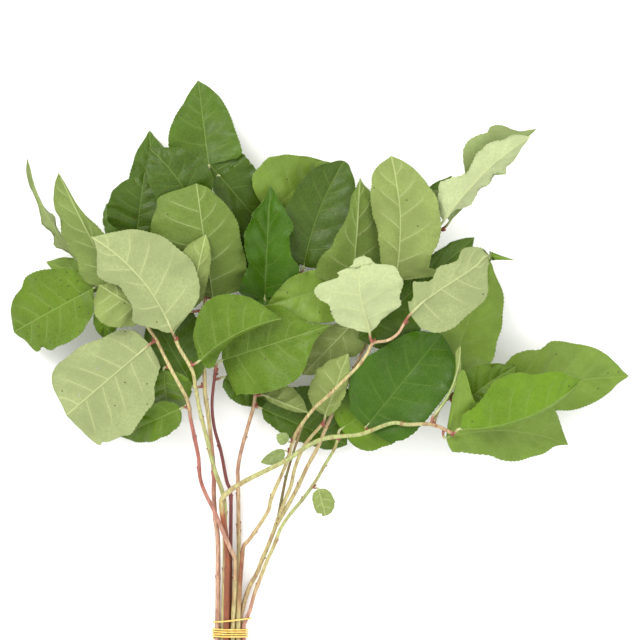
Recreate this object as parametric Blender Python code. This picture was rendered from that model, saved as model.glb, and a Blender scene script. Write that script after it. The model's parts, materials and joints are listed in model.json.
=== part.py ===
"""A tied bunch of cut salal: leafy stems held by rubber bands, lying flat.

X runs across the bunch, Y along it from the cut ends to the tips, and Z up
from the surface that it lies on. Lengths are in millimetres until a mesh is
made, and the pile is built from the surface upwards.
"""

import math
from collections import namedtuple

import bmesh
import bpy
import numpy as np
from mathutils import Vector

MM = 0.001
GAP = 0.35
FULL_TURN = 2 * math.pi

# The tie and the cut ends
BAND_Y = -158.0
HELD_REACH = 20.0
CUT_Y = -255.0
CUT_STAGGER = 1.5
BUNDLE_X = -67.0
CUT_SPLAY = 1.25
CUT_DROP = 1.7
BAND_RADIUS = 0.6
BAND_SIDES = 6
BAND_POINTS = 32
WOUND_Y = -163.4
WOUND_TURNS = 4.3
WOUND_PITCH = 1.75
WOUND_SLANT = 0.6
SINGLE_Y = -150.0
SINGLE_SLANT = 3.0
BAND_MARGIN = 3.5
OUTLINE_POINTS = 180

# The stems: how they thin towards their tips, and how a twig takes its parent's height
TAPER_POWER = 1.3
TWIG_FOLLOW = 0.7
TWIG_FOOT = 14.0
EASE_LENGTH = 26.0

# The leaves: thickness, stalks, edge waves and the height of a blade's base beside its stem
BLADE_THICKNESS = 0.6
STALK_RADIUS = 1.1
SMALL_STALK_RADIUS = 0.75
SMALL_LEAF = 32.0
END_CLEARANCE = 7.0
STALK_PULL = 0.4
BASE_ABOVE = 2.5
BASE_BELOW = -3.5
FULL_CURL_WIDTH = 50.0
CURL_POWER = 1.5
WAVE_SHARE = 0.03
WAVE_MOST = 1.3
WAVE_SMALL = 0.3
WAVE_COUNT = 2.6
WAVE_SIDE_SHIFT = 1.4

# How finely the pieces are cut
STEM_SIDES = 8
STEM_SAG = 0.14
STEM_REACH = 34.0
FINE_STEP = 2.0
RING_V = np.array([1.0, 0.5, 0.0, -0.5, -1.0, -0.5, 0.0, 0.5])
RING_LIFT = np.array([0.0, 0.5, 1.0, 0.5, 0.0, -0.5, -1.0, -0.5])
STALK_POINTS = 4
STATION_STEP = 11.0
FEWEST_STATIONS = 5
MOST_STATIONS = 9
FIRST_STATION = 0.12
LAST_STATION = 0.985

# The height map that keeps each piece clear of what lies under it
CELL = 2.0
MAP_X = 260.0
MAP_Y = 280.0
SAMPLE_STEP = 1.6
FEWEST_SAMPLES = 8
STEM_SIDES_COVERED = (-0.8, 0.0, 0.8)
LEAF_GAP = 2.2
STEM_GAP = 0.4
RISES = np.arange(0.0, 60.0, 1.5)
ROLLS = np.arange(-9.0, 9.1, 3.0)
RISE_COST = 1.6
ROLL_COST = 0.5
LEAST_TILT_SHARE = 0.05

Stem = namedtuple("Stem", "name thick thin colour path parent", defaults=(None,))
Leaf = namedtuple(
    "Leaf",
    "name stem base tip left right bend shape rise arch curl_left curl_right face at_end",
    defaults=(0.0, (0.45, 0.7), 0.0, 5.0, None, None, "upper", False),
)

# The first point of each main stem is where the bands hold it
STEMS = {
    s.name: s
    for s in (
        Stem("stem_c", 2.1, 1.4, "pink", [
            (-77.0, -158, 3.9), (-76.6, -130, 6), (-76.5, -91, 10), (-78.5, -72, 12), (-79.5, -54, 14),
            (-79.5, -37, 16), (-83, 1, 21), (-85.5, 19, 24), (-86, 32, 26), (-87, 60, 29), (-85.5, 90, 32),
            (-84, 120, 34), (-86, 148, 34), (-82, 184, 32)]),
        Stem("stem_c_twig", 1.3, 1.0, "pink", [
            (-85.5, 92, 32), (-98, 110, 30), (-116, 122, 27), (-134, 130, 24)], "stem_c"),
        Stem("stem_d", 1.8, 1.3, "dark_red", [
            (-68.1, -158, 3.7), (-67.6, -130, 4), (-67.2, -105, 4.5), (-66.9, -80, 6), (-67, -55, 8),
            (-70, -45, 10), (-74, -24, 13), (-79, -5, 17), (-80.5, 13.5, 21), (-78, 37, 26)]),
        Stem("stem_e", 1.9, 1.3, "tan", [
            (-64.1, -158, 3.8), (-62.5, -130, 4), (-61, -105, 4.5), (-61, -80, 5.5), (-61.5, -44, 8),
            (-61.5, -37, 9), (-59, -23, 11), (-52, 2, 16), (-49.5, 11, 18), (-46, 37, 22), (-40.5, 67, 27),
            (-36, 86, 30), (-24, 99, 32), (-15, 109, 33)]),
        Stem("stem_e_twig", 1.2, 1.0, "tan", [
            (-38, 80, 29), (-40, 108, 29), (-42, 132, 28), (-41, 148, 27)], "stem_e"),
        Stem("stem_h", 2.1, 1.4, "yellow_green", [
            (-59.7, -158, 4.0), (-58.6, -144, 4.3), (-53.3, -126, 5.5), (-47.3, -115, 7), (-43.1, -104, 9),
            (-39, -94.5, 11), (-34.2, -82, 13), (-30.4, -71, 15), (-26.3, -60, 18), (-21.8, -49, 20),
            (-18, -33, 24), (-10.5, -17, 28), (1.2, -3, 32)]),
        Stem("stem_h_thin", 1.2, 0.9, "olive", [
            (-31.5, -74, 14.5), (-28.5, -58, 16), (-25.6, -43.5, 18), (-21.8, -30, 20), (-17, -15, 22),
            (-13, -4, 24), (-9, 6, 25)], "stem_h"),
        Stem("stem_h_long", 1.6, 1.0, "tan", [
            (-33, -79, 13.5), (-26.5, -68, 15), (-20.9, -58, 17), (-16, -48.5, 19), (-9.3, -34, 22),
            (-1.7, -19.8, 25), (5.3, -3, 28), (13.5, 13.5, 31), (25, 38, 34), (36, 60, 37), (43.5, 75, 39),
            (53, 94.5, 41), (64, 118, 43), (78, 134, 45), (90, 142, 46)], "stem_h"),
        Stem("stem_h_side", 1.1, 0.9, "tan", [
            (33, 54, 36.3), (29, 68, 37), (22, 82, 38), (16, 93, 38)], "stem_h_long"),
        Stem("stem_b", 2.2, 1.5, "yellow_green", [
            (-72.4, -158, 4.0), (-71.8, -130, 6), (-71, -105, 9), (-71.2, -80, 13), (-71.8, -58, 18),
            (-79, -35, 25), (-85, -9, 34), (-89, 7, 40), (-92, 25, 47), (-94.5, 38, 52), (-103.5, 54, 58),
            (-106, 60, 60)]),
        Stem("stem_k", 1.7, 1.3, "green", [
            (-57.3, -158, 7.5), (-56, -151, 7.6), (-52.3, -142, 8), (-49, -130, 9), (-45.3, -120, 11),
            (-40, -106, 14), (-34.5, -94, 16), (-29.5, -81, 18), (-22.7, -70.5, 20), (-13.2, -59, 23),
            (-3.6, -45.6, 26), (3, -34, 28), (10.7, -20.8, 31), (13, -14, 32)]),
        Stem("stem_g", 1.8, 1.2, "tan", [
            (-61.2, -158, 8.2), (-60.2, -130, 10), (-58.5, -105, 13), (-57, -94, 15), (-52, -88, 17),
            (-39, -68, 23), (-36, -57, 26), (-25.5, -33, 31), (-22, -21, 34), (-19, -12, 37), (-15, -4.5, 39),
            (-10.5, 2, 42), (-3, 11, 46), (7, 20, 51), (17, 30, 56), (27, 40, 61), (34.5, 50, 66),
            (39, 58, 69), (49.5, 60, 71), (57, 65, 73), (62, 73, 75)]),
        Stem("stem_f", 2.5, 1.5, "orange", [
            (-70.2, -158, 8.6), (-69.8, -130, 9.5), (-69.3, -105, 13), (-70.5, -85, 17), (-73.5, -62, 22),
            (-68, -53, 26), (-52.5, -43, 32), (-25.5, -29, 42), (-7, -17, 47), (6, -12, 49), (26, -10, 50),
            (34, -8, 51), (53, -1, 52), (64, -2, 53), (82, -2, 54), (97, -8, 55)]),
        Stem("stem_f_twig", 1.2, 1.0, "yellow_green", [
            (84, -2, 50), (86.5, 5, 44), (92, 14, 37), (105, 22, 33), (121, 26, 29)], "stem_f"),
        Stem("stem_a", 1.9, 1.3, "pink", [
            (-65.3, -158, 8.0), (-64, -128, 9.5), (-63.5, -105, 12), (-67, -95.8, 16), (-73.5, -80, 22),
            (-79, -67, 24), (-85.5, -54, 25), (-89.3, -42.6, 26), (-90.2, -30.5, 27), (-91, -24, 28),
            (-96, 1, 33), (-98, 15, 36), (-106, 31, 40), (-114, 46, 43), (-121, 60, 45), (-127, 69, 45),
            (-136, 82, 38), (-150, 91, 32), (-160, 97, 28)]),
    )
}

LEAVES = {
    f.name: f
    for f in (
        Leaf("leaf_04", "stem_c_twig", (-122, 134), (-128, 217), 18, 19, rise=-26),
        Leaf("leaf_01", "stem_c", (-82.5, 190), (-91.5, 255), 28, 26, 0, (0.35, 0.9), rise=-36, at_end=True),
        Leaf("leaf_02", "stem_c", (-74.5, 182), (-43.5, 146), 25.5, 25.5, 0, (0.45, 0.6), rise=-14),
        Leaf("leaf_06", "stem_c_twig", (-140, 133), (-160, 162), 13, 12, rise=-22, at_end=True),
        Leaf("leaf_05", "stem_c_twig", (-136, 137), (-130, 184), 25, 18),
        Leaf("leaf_03", "stem_c", (-91, 153), (-126, 202), 22, 24, -3.5, rise=-4),
        Leaf("leaf_20", "stem_e_twig", (-39, 155), (7.5, 193), 31, 22, 0, (0.35, 0.8), rise=-22, at_end=True),
        Leaf("leaf_21", "stem_e", (-12, 115), (18, 193), 24, 24, 4, (0.4, 0.45), rise=-4, at_end=True),
        Leaf("leaf_24_back", "stem_h_long", (96, 148), (161, 217), 25, 12, 4, rise=-12, at_end=True),
        Leaf("leaf_25", "stem_h_long", (61, 127), (98, 182), 14, 9, rise=-12),
        Leaf("leaf_24", "stem_h_long", (91, 148), (154.5, 210), 17, 10, 4.5, curl_left=-12, face="under"),
        Leaf("leaf_30", "stem_f_twig", (128, 26), (232, 33), 30, 23, 0, (0.45, 0.6), rise=-34, at_end=True),
        Leaf("leaf_32", "stem_f", (93, -12), (185, -18), 28, 26, 8, (0.35, 0.6), rise=-32),
        Leaf("leaf_33", "stem_f_twig", (102, 9), (145, 40), 17, 19, 2, rise=-16),
        Leaf("leaf_29", "stem_f_twig", (92, 27), (128, 118.5), 22, 27, 0, rise=-38),
        Leaf("leaf_28", "stem_h_long", (60, 89), (115, 136.5), 12, 14, 0, rise=-18),
        Leaf("leaf_14", "stem_a", (-154, 101), (-205.5, 118.5), 10, 12, rise=-30),
        Leaf("leaf_49", "stem_a", (-116, 38), (-114, 4.5), 15, 16, rise=-34),
        Leaf("leaf_50", "stem_a", (-104, 9), (-151, -12), 15, 12, rise=-34),
        Leaf("leaf_48", "stem_c", (-95, 26), (-120, 70), 11, 11, rise=-4),
        Leaf("leaf_46", "stem_e", (-43.5, 9), (7.5, -13), 16, 11, rise=-12),
        Leaf("leaf_45", "stem_d", (-71, 32), (-34, 11), 15, 12, rise=-24),
        Leaf("leaf_41", "stem_h_side", (19.5, 67.5), (-13, 34), 8, 14, rise=-18, face="under"),
        Leaf("leaf_16", "stem_c", (-79.5, 91.5), (-91, 175.5), 37, 29, 0, (0.45, 0.42), face="under"),
        Leaf("leaf_17", "stem_c", (-97, 82), (-84, 138), 10, 10, rise=2, face="under"),
        Leaf("leaf_19", "stem_e", (-41, 91), (-37, 175), 17, 17, curl_left=13, curl_right=9),
        Leaf("leaf_22", "stem_h_side", (24, 92), (29.6, 180), 29, 20, 0, (0.33, 0.9), face="under"),
        Leaf("leaf_40", "stem_h_side", (12, 100), (-39, 86), 18, 16, at_end=True),
        Leaf("leaf_23", "stem_h_long", (56, 104), (52.5, 196), 20, 31, -5, (0.42, 0.45), face="under"),
        Leaf("leaf_44", "stem_e", (-41, 19), (-9, 6), 13, 4, rise=-2, face="under"),
        Leaf("leaf_38", "stem_d", (-73, 45), (9, 71.6), 30, 34, 0, (0.4, 0.75), rise=12, at_end=True),
        Leaf("leaf_39", "stem_b", (-89, 45), (-28.5, 76), 32, 5, 5, (0.45, 0.55), curl_left=4, curl_right=-14),
        Leaf("leaf_36", "stem_k", (15.5, -6), (73.5, 31.5), 22, 29, 0, (0.3, 0.6), rise=8, at_end=True),
        Leaf("leaf_34", "stem_f", (84, 5), (103.5, 56), 12, 6, -5, rise=-8, face="under"),
        Leaf("leaf_35", "stem_f", (34, -4), (90, 64.5), 36, 30, 0, (0.45, 0.45), rise=-6),
        Leaf("leaf_31", "stem_f", (103, -5), (194, 31), 34, 5, -10, (0.5, 0.6), rise=-14, curl_right=-18,
             at_end=True),
        Leaf("leaf_43", "stem_h", (4, 4), (21, 50), 19, 8, rise=6, face="under", at_end=True),
        Leaf("leaf_26", "stem_g", (36.5, 65), (27, 115.5), 33, 32, 0, (0.5, 0.28), arch=8, face="under"),
        Leaf("leaf_27", "stem_g", (66, 79), (143, 119), 17, 28, 8, rise=-8, curl_left=-4, face="under",
             at_end=True),
        Leaf("leaf_08", "stem_a", (-166, 108), (-217.5, 195), 6, 5, 10, curl_left=17, curl_right=-17),
        Leaf("leaf_09", "stem_a", (-147.5, 97), (-193, 184), 18, 16, 1.5, rise=10, face="under"),
        Leaf("leaf_13", "stem_a", (-127.5, 79), (-160, 99), 17, 17, rise=-16, curl_left=-3, curl_right=-3,
             face="under"),
        Leaf("leaf_15", "stem_a", (-157, 88), (-161, 61), 11, 10, rise=-8),
        Leaf("leaf_12", "stem_a", (-168, 98.5), (-229.5, 66), 27, 32, 0, (0.5, 0.45), rise=-36, at_end=True),
        Leaf("leaf_10", "stem_a", (-126, 57), (-189, 4), 37, 33, 0, (0.5, 0.38), rise=-24, face="under"),
        Leaf("leaf_11", "stem_b", (-108.5, 66), (-168, 136), 24, 38, -8, (0.45, 0.5), rise=4, face="under",
             at_end=True),
        Leaf("small_leaf_1", "stem_k", (-1, -51), (4, -70.5), 9.5, 7, 0, (0.4, 0.4), arch=2, face="under"),
        Leaf("small_leaf_2", "stem_g", (-26.5, -22), (-44, -31), 6, 4, 0, arch=2),
        Leaf("small_leaf_3", "stem_g", (-24, -15), (-32, -10), 5, 5, 0, arch=2),
    )
}

# From the surface up: each piece lies over those named before it
PILE = (
    "stem_c stem_c_twig leaf_04 leaf_01 leaf_02 leaf_06 leaf_05 leaf_03 leaf_48 leaf_49 leaf_50 leaf_45 "
    "stem_d stem_e stem_e_twig leaf_20 leaf_21 leaf_46 "
    "stem_h stem_h_thin stem_h_long stem_h_side leaf_41 leaf_25 leaf_24_back leaf_24 "
    "stem_f_twig leaf_29 leaf_30 leaf_33 leaf_32 leaf_28 leaf_14 leaf_08 "
    "leaf_16 leaf_17 leaf_19 leaf_40 leaf_22 leaf_23 leaf_44 "
    "stem_b stem_k leaf_38 leaf_39 leaf_36 leaf_35 leaf_34 leaf_31 leaf_43 "
    "stem_g small_leaf_2 small_leaf_3 stem_f stem_a "
    "leaf_26 leaf_27 leaf_15 leaf_12 leaf_09 leaf_13 leaf_10 leaf_11 small_leaf_1"
).split()

STEM_COLOURS = {
    "pink": (0.45, 0.20, 0.15),
    "dark_red": (0.30, 0.07, 0.07),
    "tan": (0.48, 0.33, 0.16),
    "olive": (0.30, 0.30, 0.12),
    "green": (0.40, 0.48, 0.18),
    "yellow_green": (0.50, 0.50, 0.22),
    "orange": (0.42, 0.15, 0.06),
}
LEAF_COLOURS = {"upper": (0.10, 0.22, 0.05), "under": (0.35, 0.48, 0.20)}
BAND_COLOUR = (0.85, 0.60, 0.10)
STEM_ROUGHNESS = 0.55
LEAF_ROUGHNESS = 0.45
BAND_ROUGHNESS = 0.6
DEFAULT_CURL = {"upper": 5.0, "under": -5.0}


def smooth_curve(points, step):
    """Points about `step` apart on a smooth curve through the given points."""
    p = np.array(points, float)
    p = np.vstack([2 * p[0] - p[1], p, 2 * p[-1] - p[-2]])
    out = []
    for a, b, c, d in zip(p[:-3], p[1:-2], p[2:-1], p[3:]):
        count = max(1, int(round(np.linalg.norm(c - b) / step)))
        for t in np.arange(count) / count:
            out.append(0.5 * (2 * b + (c - a) * t + (2 * a - 5 * b + 4 * c - d) * t**2
                              + (3 * b - 3 * c + d - a) * t**3))
    out.append(p[-2])
    return np.array(out)


def along(points):
    """The distance along a line of points, at each point."""
    return np.concatenate([[0.0], np.cumsum(np.linalg.norm(np.diff(points, axis=0), axis=1))])


def unit(v):
    """A vector, or rows of vectors, at length one."""
    return v / np.maximum(np.linalg.norm(v, axis=-1, keepdims=True), 1e-9)


class HeightMap:
    """The height of the pile over a grid of square cells."""

    def __init__(self):
        self.top = np.zeros((int(2 * MAP_X / CELL), int(2 * MAP_Y / CELL)))

    def cells(self, x, y):
        i = np.clip(((x + MAP_X) / CELL).astype(int), 1, self.top.shape[0] - 2)
        j = np.clip(((y + MAP_Y) / CELL).astype(int), 1, self.top.shape[1] - 2)
        return i, j

    def add(self, x, y, z):
        """Raises the cells around each point to its height."""
        i, j = self.cells(x, y)
        for di in (-1, 0, 1):
            for dj in (-1, 0, 1):
                np.maximum.at(self.top, (i + di, j + dj), z)

    def at(self, x, y):
        i, j = self.cells(x, y)
        return self.top[i, j]


def eased(lift, distance):
    """A lift spread smoothly to both sides, nowhere less than the given one."""
    apart = np.abs(distance[:, None] - distance[None, :]) / EASE_LENGTH
    weight = np.where(apart < 1, 0.5 + 0.5 * np.cos(np.pi * np.clip(apart, 0, 1)), 0.0)
    return (lift[None, :] * weight).max(axis=1)


class StemLine:
    """A stem's centreline, with its radius, settled on the pile."""

    def __init__(self, stem, settled, leaf_map):
        path = list(stem.path)
        if stem.parent is None:
            x, _, z = path[0]
            cut = BUNDLE_X + (x - BUNDLE_X) * CUT_SPLAY
            path = [(cut, CUT_Y + CUT_STAGGER * ((x * 7) % 4), z - CUT_DROP)] + path
            path.insert(1, ((cut + x) / 2, (CUT_Y + BAND_Y) / 2, z - CUT_DROP / 2))
        self.name = stem.name
        self.points = smooth_curve(path, FINE_STEP)
        self.distance = along(self.points)
        share = self.distance / self.distance[-1]
        self.radius = stem.thick + (stem.thin - stem.thick) * share**TAPER_POWER
        if stem.parent in settled:
            parent = settled[stem.parent]
            self.points[:, 2] += self.step_to(parent) * (1 - TWIG_FOLLOW * share)
        family = stem.name[:6]
        need = np.zeros(len(self.points))
        for other in settled.values():
            if other.name[:6] == family:
                continue
            need = np.maximum(need, self.need_over(other))
        leaves = leaf_map.at(self.points[:, 0], self.points[:, 1])
        over = np.where(leaves > 0, leaves + self.radius + LEAF_GAP / 2 - self.points[:, 2], 0)
        held = self.points[:, 1] < BAND_Y + HELD_REACH
        need = np.maximum(need, np.where(held, 0, over))
        self.points[:, 2] += eased(need, self.distance)

    def step_to(self, parent):
        """How far this twig's foot is below its parent's centreline."""
        return parent.points[parent.nearest(self.points[0][:2])][2] - self.points[0][2]

    def join(self, parent):
        """Turns the twig's foot up or down to meet its parent."""
        fade = np.clip(1 - self.distance / TWIG_FOOT, 0, 1)**2
        self.points[:, 2] += self.step_to(parent) * fade

    def nearest(self, xy):
        return int(np.argmin(np.linalg.norm(self.points[:, :2] - np.array(xy), axis=1)))

    def need_over(self, other):
        """How far each point must rise to lie on another stem."""
        flat = np.linalg.norm(self.points[:, None, :2] - other.points[None, :, :2], axis=2)
        reach = self.radius[:, None] + other.radius[None, :] + STEM_GAP
        rise = np.sqrt(np.maximum(reach**2 - flat**2, 0)) + other.points[None, :, 2]
        need = np.where(flat < reach, rise - self.points[:, None, 2], 0).max(axis=1)
        beside = np.linalg.norm(self.points[:, None, :] - other.points[None, :, :], axis=2) - reach
        return np.where(beside.min(axis=1) < 0, np.maximum(need, 0), 0)

    def splat(self, *maps):
        for height_map in maps:
            for side in STEM_SIDES_COVERED:
                height_map.add(self.points[:, 0] + side * self.radius, self.points[:, 1],
                               self.points[:, 2] + self.radius)


class Blade:
    """A leaf's surface: u runs from its base to its tip, and v from right (-1) to left (+1)."""

    def __init__(self, leaf, stem_z, above):
        self.leaf = leaf
        self.base = np.array(leaf.base, float)
        chord = np.array(leaf.tip, float) - self.base
        self.length = float(np.linalg.norm(chord))
        self.chord = chord
        self.side = np.array([-chord[1], chord[0]]) / self.length
        a, b = leaf.shape
        self.a, self.b, self.peak = a, b, a / (a + b)
        curl = DEFAULT_CURL[leaf.face] * min(1.0, (leaf.left + leaf.right) / FULL_CURL_WIDTH)
        self.curl_left = curl if leaf.curl_left is None else leaf.curl_left
        self.curl_right = curl if leaf.curl_right is None else leaf.curl_right
        self.z0 = stem_z + (BASE_ABOVE if above else BASE_BELOW)
        self.lift = (0.0, 0.0, 0.0)
        self.wave = min(WAVE_MOST, WAVE_SHARE * self.length) if self.length > SMALL_LEAF else WAVE_SMALL
        self.stalk = STALK_RADIUS if self.length > SMALL_LEAF else SMALL_STALK_RADIUS
        self.phase = (leaf.base[0] * 0.37 + leaf.base[1] * 0.53) % FULL_TURN

    def width(self, u):
        """The outline: 0 at both ends, 1 at the widest place."""
        u = np.clip(u, 1e-6, 1 - 1e-6)
        return (u / self.peak)**self.a * ((1 - u) / (1 - self.peak))**self.b

    def point(self, u, v):
        u, v = np.broadcast_arrays(np.asarray(u, float), np.asarray(v, float))
        leaf = self.leaf
        f = self.width(u)
        hump = 4 * u * (1 - u)
        across = np.where(v > 0, leaf.left, leaf.right) * f * v + leaf.bend * hump
        xy = self.base + self.chord * u[..., None] + self.side * across[..., None]
        curl = np.where(v > 0, self.curl_left, self.curl_right)
        c0, c1, c2 = self.lift
        z = self.z0 + c0 + leaf.rise * u + leaf.arch * hump + c1 * (1 - (1 - u)**2)
        z = z + curl * f * np.abs(v)**CURL_POWER + c2 * v * f
        angle = FULL_TURN * WAVE_COUNT * u + self.phase + WAVE_SIDE_SHIFT * np.sign(v)
        z = z + self.wave * f * v**2 * np.sin(angle)
        return np.concatenate([xy, z[..., None]], axis=-1)

    def samples(self):
        u = np.linspace(0.01, 0.99, max(FEWEST_SAMPLES, int(self.length / SAMPLE_STEP)))
        v = np.linspace(-1, 1, max(FEWEST_SAMPLES, int((self.leaf.left + self.leaf.right) / SAMPLE_STEP)))
        return np.meshgrid(u, v, indexing="ij")

    def settle(self, height_map):
        """Lifts the leaf by the least rise, tilt and roll that clear the pile."""
        u, v = self.samples()
        p = self.point(u, v)
        below = height_map.at(p[..., 0], p[..., 1])
        need = np.where(below > 0, below + LEAF_GAP, BLADE_THICKNESS) - p[..., 2]
        tilt_share = np.maximum(1 - (1 - u)**2, LEAST_TILT_SHARE)
        roll_share = v * self.width(u)
        best = None
        for c0 in RISES:
            for c2 in ROLLS:
                c1 = max(0.0, float(((need - c0 - c2 * roll_share) / tilt_share).max()))
                cost = RISE_COST * c0 + c1 + ROLL_COST * abs(c2)
                if best is None or cost < best[0]:
                    best = (cost, (float(c0), c1, float(c2)))
        self.lift = best[1]

    def splat(self, *maps):
        u, v = self.samples()
        p = self.point(u, v)
        for height_map in maps:
            height_map.add(p[..., 0].ravel(), p[..., 1].ravel(), p[..., 2].ravel() + BLADE_THICKNESS / 2)

    def normal(self, u, v):
        h = 0.004
        du = self.point(np.minimum(u + h, 1), v) - self.point(np.maximum(u - h, 0), v)
        dv = self.point(u, np.minimum(v + h, 1)) - self.point(u, np.maximum(v - h, -1))
        return unit(np.cross(du, dv))


def stem_height(stem, xy):
    """The drawn height of a stem's path next to a place."""
    points = smooth_curve(stem.path, FINE_STEP)
    return points[np.argmin(np.linalg.norm(points[:, :2] - np.array(xy), axis=1)), 2]


def settle_pile():
    """Stems and blades, each settled on what lies under it."""
    everything, leaf_map = HeightMap(), HeightMap()
    stems, blades = {}, {}
    for name in PILE:
        if name in STEMS:
            line = StemLine(STEMS[name], stems, leaf_map)
            line.splat(everything)
            stems[name] = line
            continue
        leaf = LEAVES[name]
        above = leaf.stem in stems
        if above:
            line = stems[leaf.stem]
            height = line.points[line.nearest(leaf.base), 2]
        else:
            height = stem_height(STEMS[leaf.stem], leaf.base)
        blade = Blade(leaf, height, above)
        blade.settle(everything)
        blade.splat(everything, leaf_map)
        if above:
            path, _ = stalk_path(blade, line, 3 * STALK_POINTS)
            for height_map in (everything, leaf_map):
                height_map.add(path[:, 0], path[:, 1], path[:, 2] + blade.stalk)
        blades[name] = blade
    for line in stems.values():
        if STEMS[line.name].parent:
            line.join(stems[STEMS[line.name].parent])
    return stems, blades


def stalk_path(blade, line, count):
    """Points along a leaf's stalk, from just off the stem to the blade's base, and the way that it leaves."""
    base = blade.point(0.0, 0.0)
    if blade.leaf.at_end:
        centre = line.points[-1]
        out = unit(centre - line.points[-2])
        start = centre + out * GAP
    else:
        last = int(np.searchsorted(line.distance, line.distance[-1] - END_CLEARANCE))
        index = int(np.clip(line.nearest(base[:2]), 2, last))
        centre = line.points[index]
        run = unit(line.points[index + 1] - line.points[index - 1])
        out = base - centre
        out = unit(out - run * float(out @ run))
        start = centre + out * (line.radius[index] + GAP)
    pull = STALK_PULL * float(np.linalg.norm(base - start))
    into = unit(blade.point(0.08, 0.0) - base)
    t = np.linspace(0, 1, count)[:, None]
    first, second = start + out * pull, base - into * pull
    return ((1 - t)**3 * start + 3 * (1 - t)**2 * t * first + 3 * (1 - t) * t**2 * second + t**3 * base), out


def spaced(points, sag, reach):
    """Indices that keep a line's shape: no chord strays further than `sag`, or runs longer than `reach`."""
    keep, i, last = [0], 0, len(points) - 1
    while i < last:
        j = i + 1
        while j < last:
            chord = points[j + 1] - points[i]
            between = points[i + 1:j + 1] - points[i]
            away = between - np.outer(between @ chord / float(chord @ chord), chord)
            if np.linalg.norm(chord) > reach or np.linalg.norm(away, axis=1).max() > sag:
                break
            j += 1
        keep.append(j)
        i = j
    return np.array(keep)


def tube_rings(points, radii, sides, across, leaves=None):
    """Rings of points round a line. `across` starts the last ring, and the first ring faces `leaves`."""
    run = unit(np.gradient(points, axis=0))
    if leaves is not None:
        run[0] = leaves
    turn = FULL_TURN * np.arange(sides) / sides
    side = across
    rings = []
    for p, r, d in reversed(list(zip(points, radii, run))):
        side = unit(side - d * float(side @ d))
        up = np.cross(d, side)
        rings.append(p + r * (np.cos(turn)[:, None] * side + np.sin(turn)[:, None] * up))
    return rings[::-1]


def mesh_from_rings(name, rings, closed=False):
    """A closed solid from rings of points that follow each other."""
    bm = bmesh.new()
    loops = [[bm.verts.new(Vector(p) * MM) for p in ring] for ring in rings]
    pairs = list(zip(loops[:-1], loops[1:]))
    if closed:
        pairs.append((loops[-1], loops[0]))
    else:
        bm.faces.new(list(reversed(loops[0])))
        bm.faces.new(loops[-1])
    for low, high in pairs:
        for k in range(len(low)):
            bm.faces.new((low[k - 1], low[k], high[k], high[k - 1]))
    bmesh.ops.triangulate(bm, faces=bm.faces)
    mesh = bpy.data.meshes.new(name)
    bm.to_mesh(mesh)
    bm.free()
    mesh.shade_smooth()
    return mesh


def material(name, colour, roughness):
    """A plain material of one colour."""
    made = bpy.data.materials.new(name)
    made.use_nodes = True
    shader = made.node_tree.nodes["Principled BSDF"]
    shader.inputs["Base Color"].default_value = (*colour, 1.0)
    shader.inputs["Roughness"].default_value = roughness
    shader.inputs["Metallic"].default_value = 0.0
    made.diffuse_color = (*colour, 1.0)
    return made


def add_object(name, mesh, colour, roughness):
    """A named object with its own material."""
    mesh.materials.append(material(name, colour, roughness))
    made = bpy.data.objects.new(name, mesh)
    bpy.context.scene.collection.objects.link(made)
    return made


def build_stem(name, stems):
    """A stem with its side twigs joined to it as one solid."""
    body = None
    for twig in [n for n in stems if n[:6] == name]:
        line = stems[twig]
        keep = spaced(line.points, STEM_SAG, STEM_REACH)
        rings = tube_rings(line.points[keep], line.radius[keep], STEM_SIDES, np.array([0.0, 0.0, 1.0]))
        mesh = mesh_from_rings(twig, rings)
        if body is None:
            body = add_object(name, mesh, STEM_COLOURS[STEMS[name].colour], STEM_ROUGHNESS)
            continue
        cutter = bpy.data.objects.new(twig, mesh)
        bpy.context.scene.collection.objects.link(cutter)
        cutter.hide_render = True
        cutter.display_type = "WIRE"
        join = body.modifiers.new(twig, "BOOLEAN")
        join.operation = "UNION"
        join.object = cutter
    return body


def build_leaf(name, blade, line):
    """A leaf as one loft: its stalk, then the blade with a raised midrib."""
    path, out = stalk_path(blade, line, STALK_POINTS)
    side = np.array([*blade.side, 0.0])
    rings = tube_rings(path[:-1], [blade.stalk] * (STALK_POINTS - 1), len(RING_V), side, out)
    count = int(np.clip(round(blade.length / STATION_STEP), FEWEST_STATIONS, MOST_STATIONS))
    lift = (RING_LIFT * BLADE_THICKNESS)[:, None]
    for u in 0.5 - 0.5 * np.cos(np.pi * np.linspace(FIRST_STATION, LAST_STATION, count)):
        at = np.full(len(RING_V), u)
        rings.append(blade.point(at, RING_V) + blade.normal(at, RING_V) * lift)
    mesh = mesh_from_rings(name, rings)
    return add_object(name, mesh, LEAF_COLOURS[blade.leaf.face], LEAF_ROUGHNESS)


def hull_outline(circles, offset):
    """The tight loop round circles of (x, z, radius), as points."""
    turn = FULL_TURN * np.arange(OUTLINE_POINTS) / OUTLINE_POINTS
    cloud = np.array([(x + (r + offset) * math.cos(t), z + (r + offset) * math.sin(t))
                      for x, z, r in circles for t in turn])
    cloud = sorted(map(tuple, cloud))

    def half(points):
        chain = []
        for p in points:
            while len(chain) > 1 and (
                (chain[-1][0] - chain[-2][0]) * (p[1] - chain[-2][1])
                - (chain[-1][1] - chain[-2][1]) * (p[0] - chain[-2][0])
            ) <= 0:
                chain.pop()
            chain.append(p)
        return chain[:-1]

    loop = np.array(half(cloud) + half(cloud[::-1]))
    loop = np.vstack([loop, loop[:1]])
    distance = along(loop)
    even = np.linspace(0, distance[-1], BAND_POINTS + 1)[:-1]
    return np.column_stack([np.interp(even, distance, loop[:, k]) for k in (0, 1)])


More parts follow.
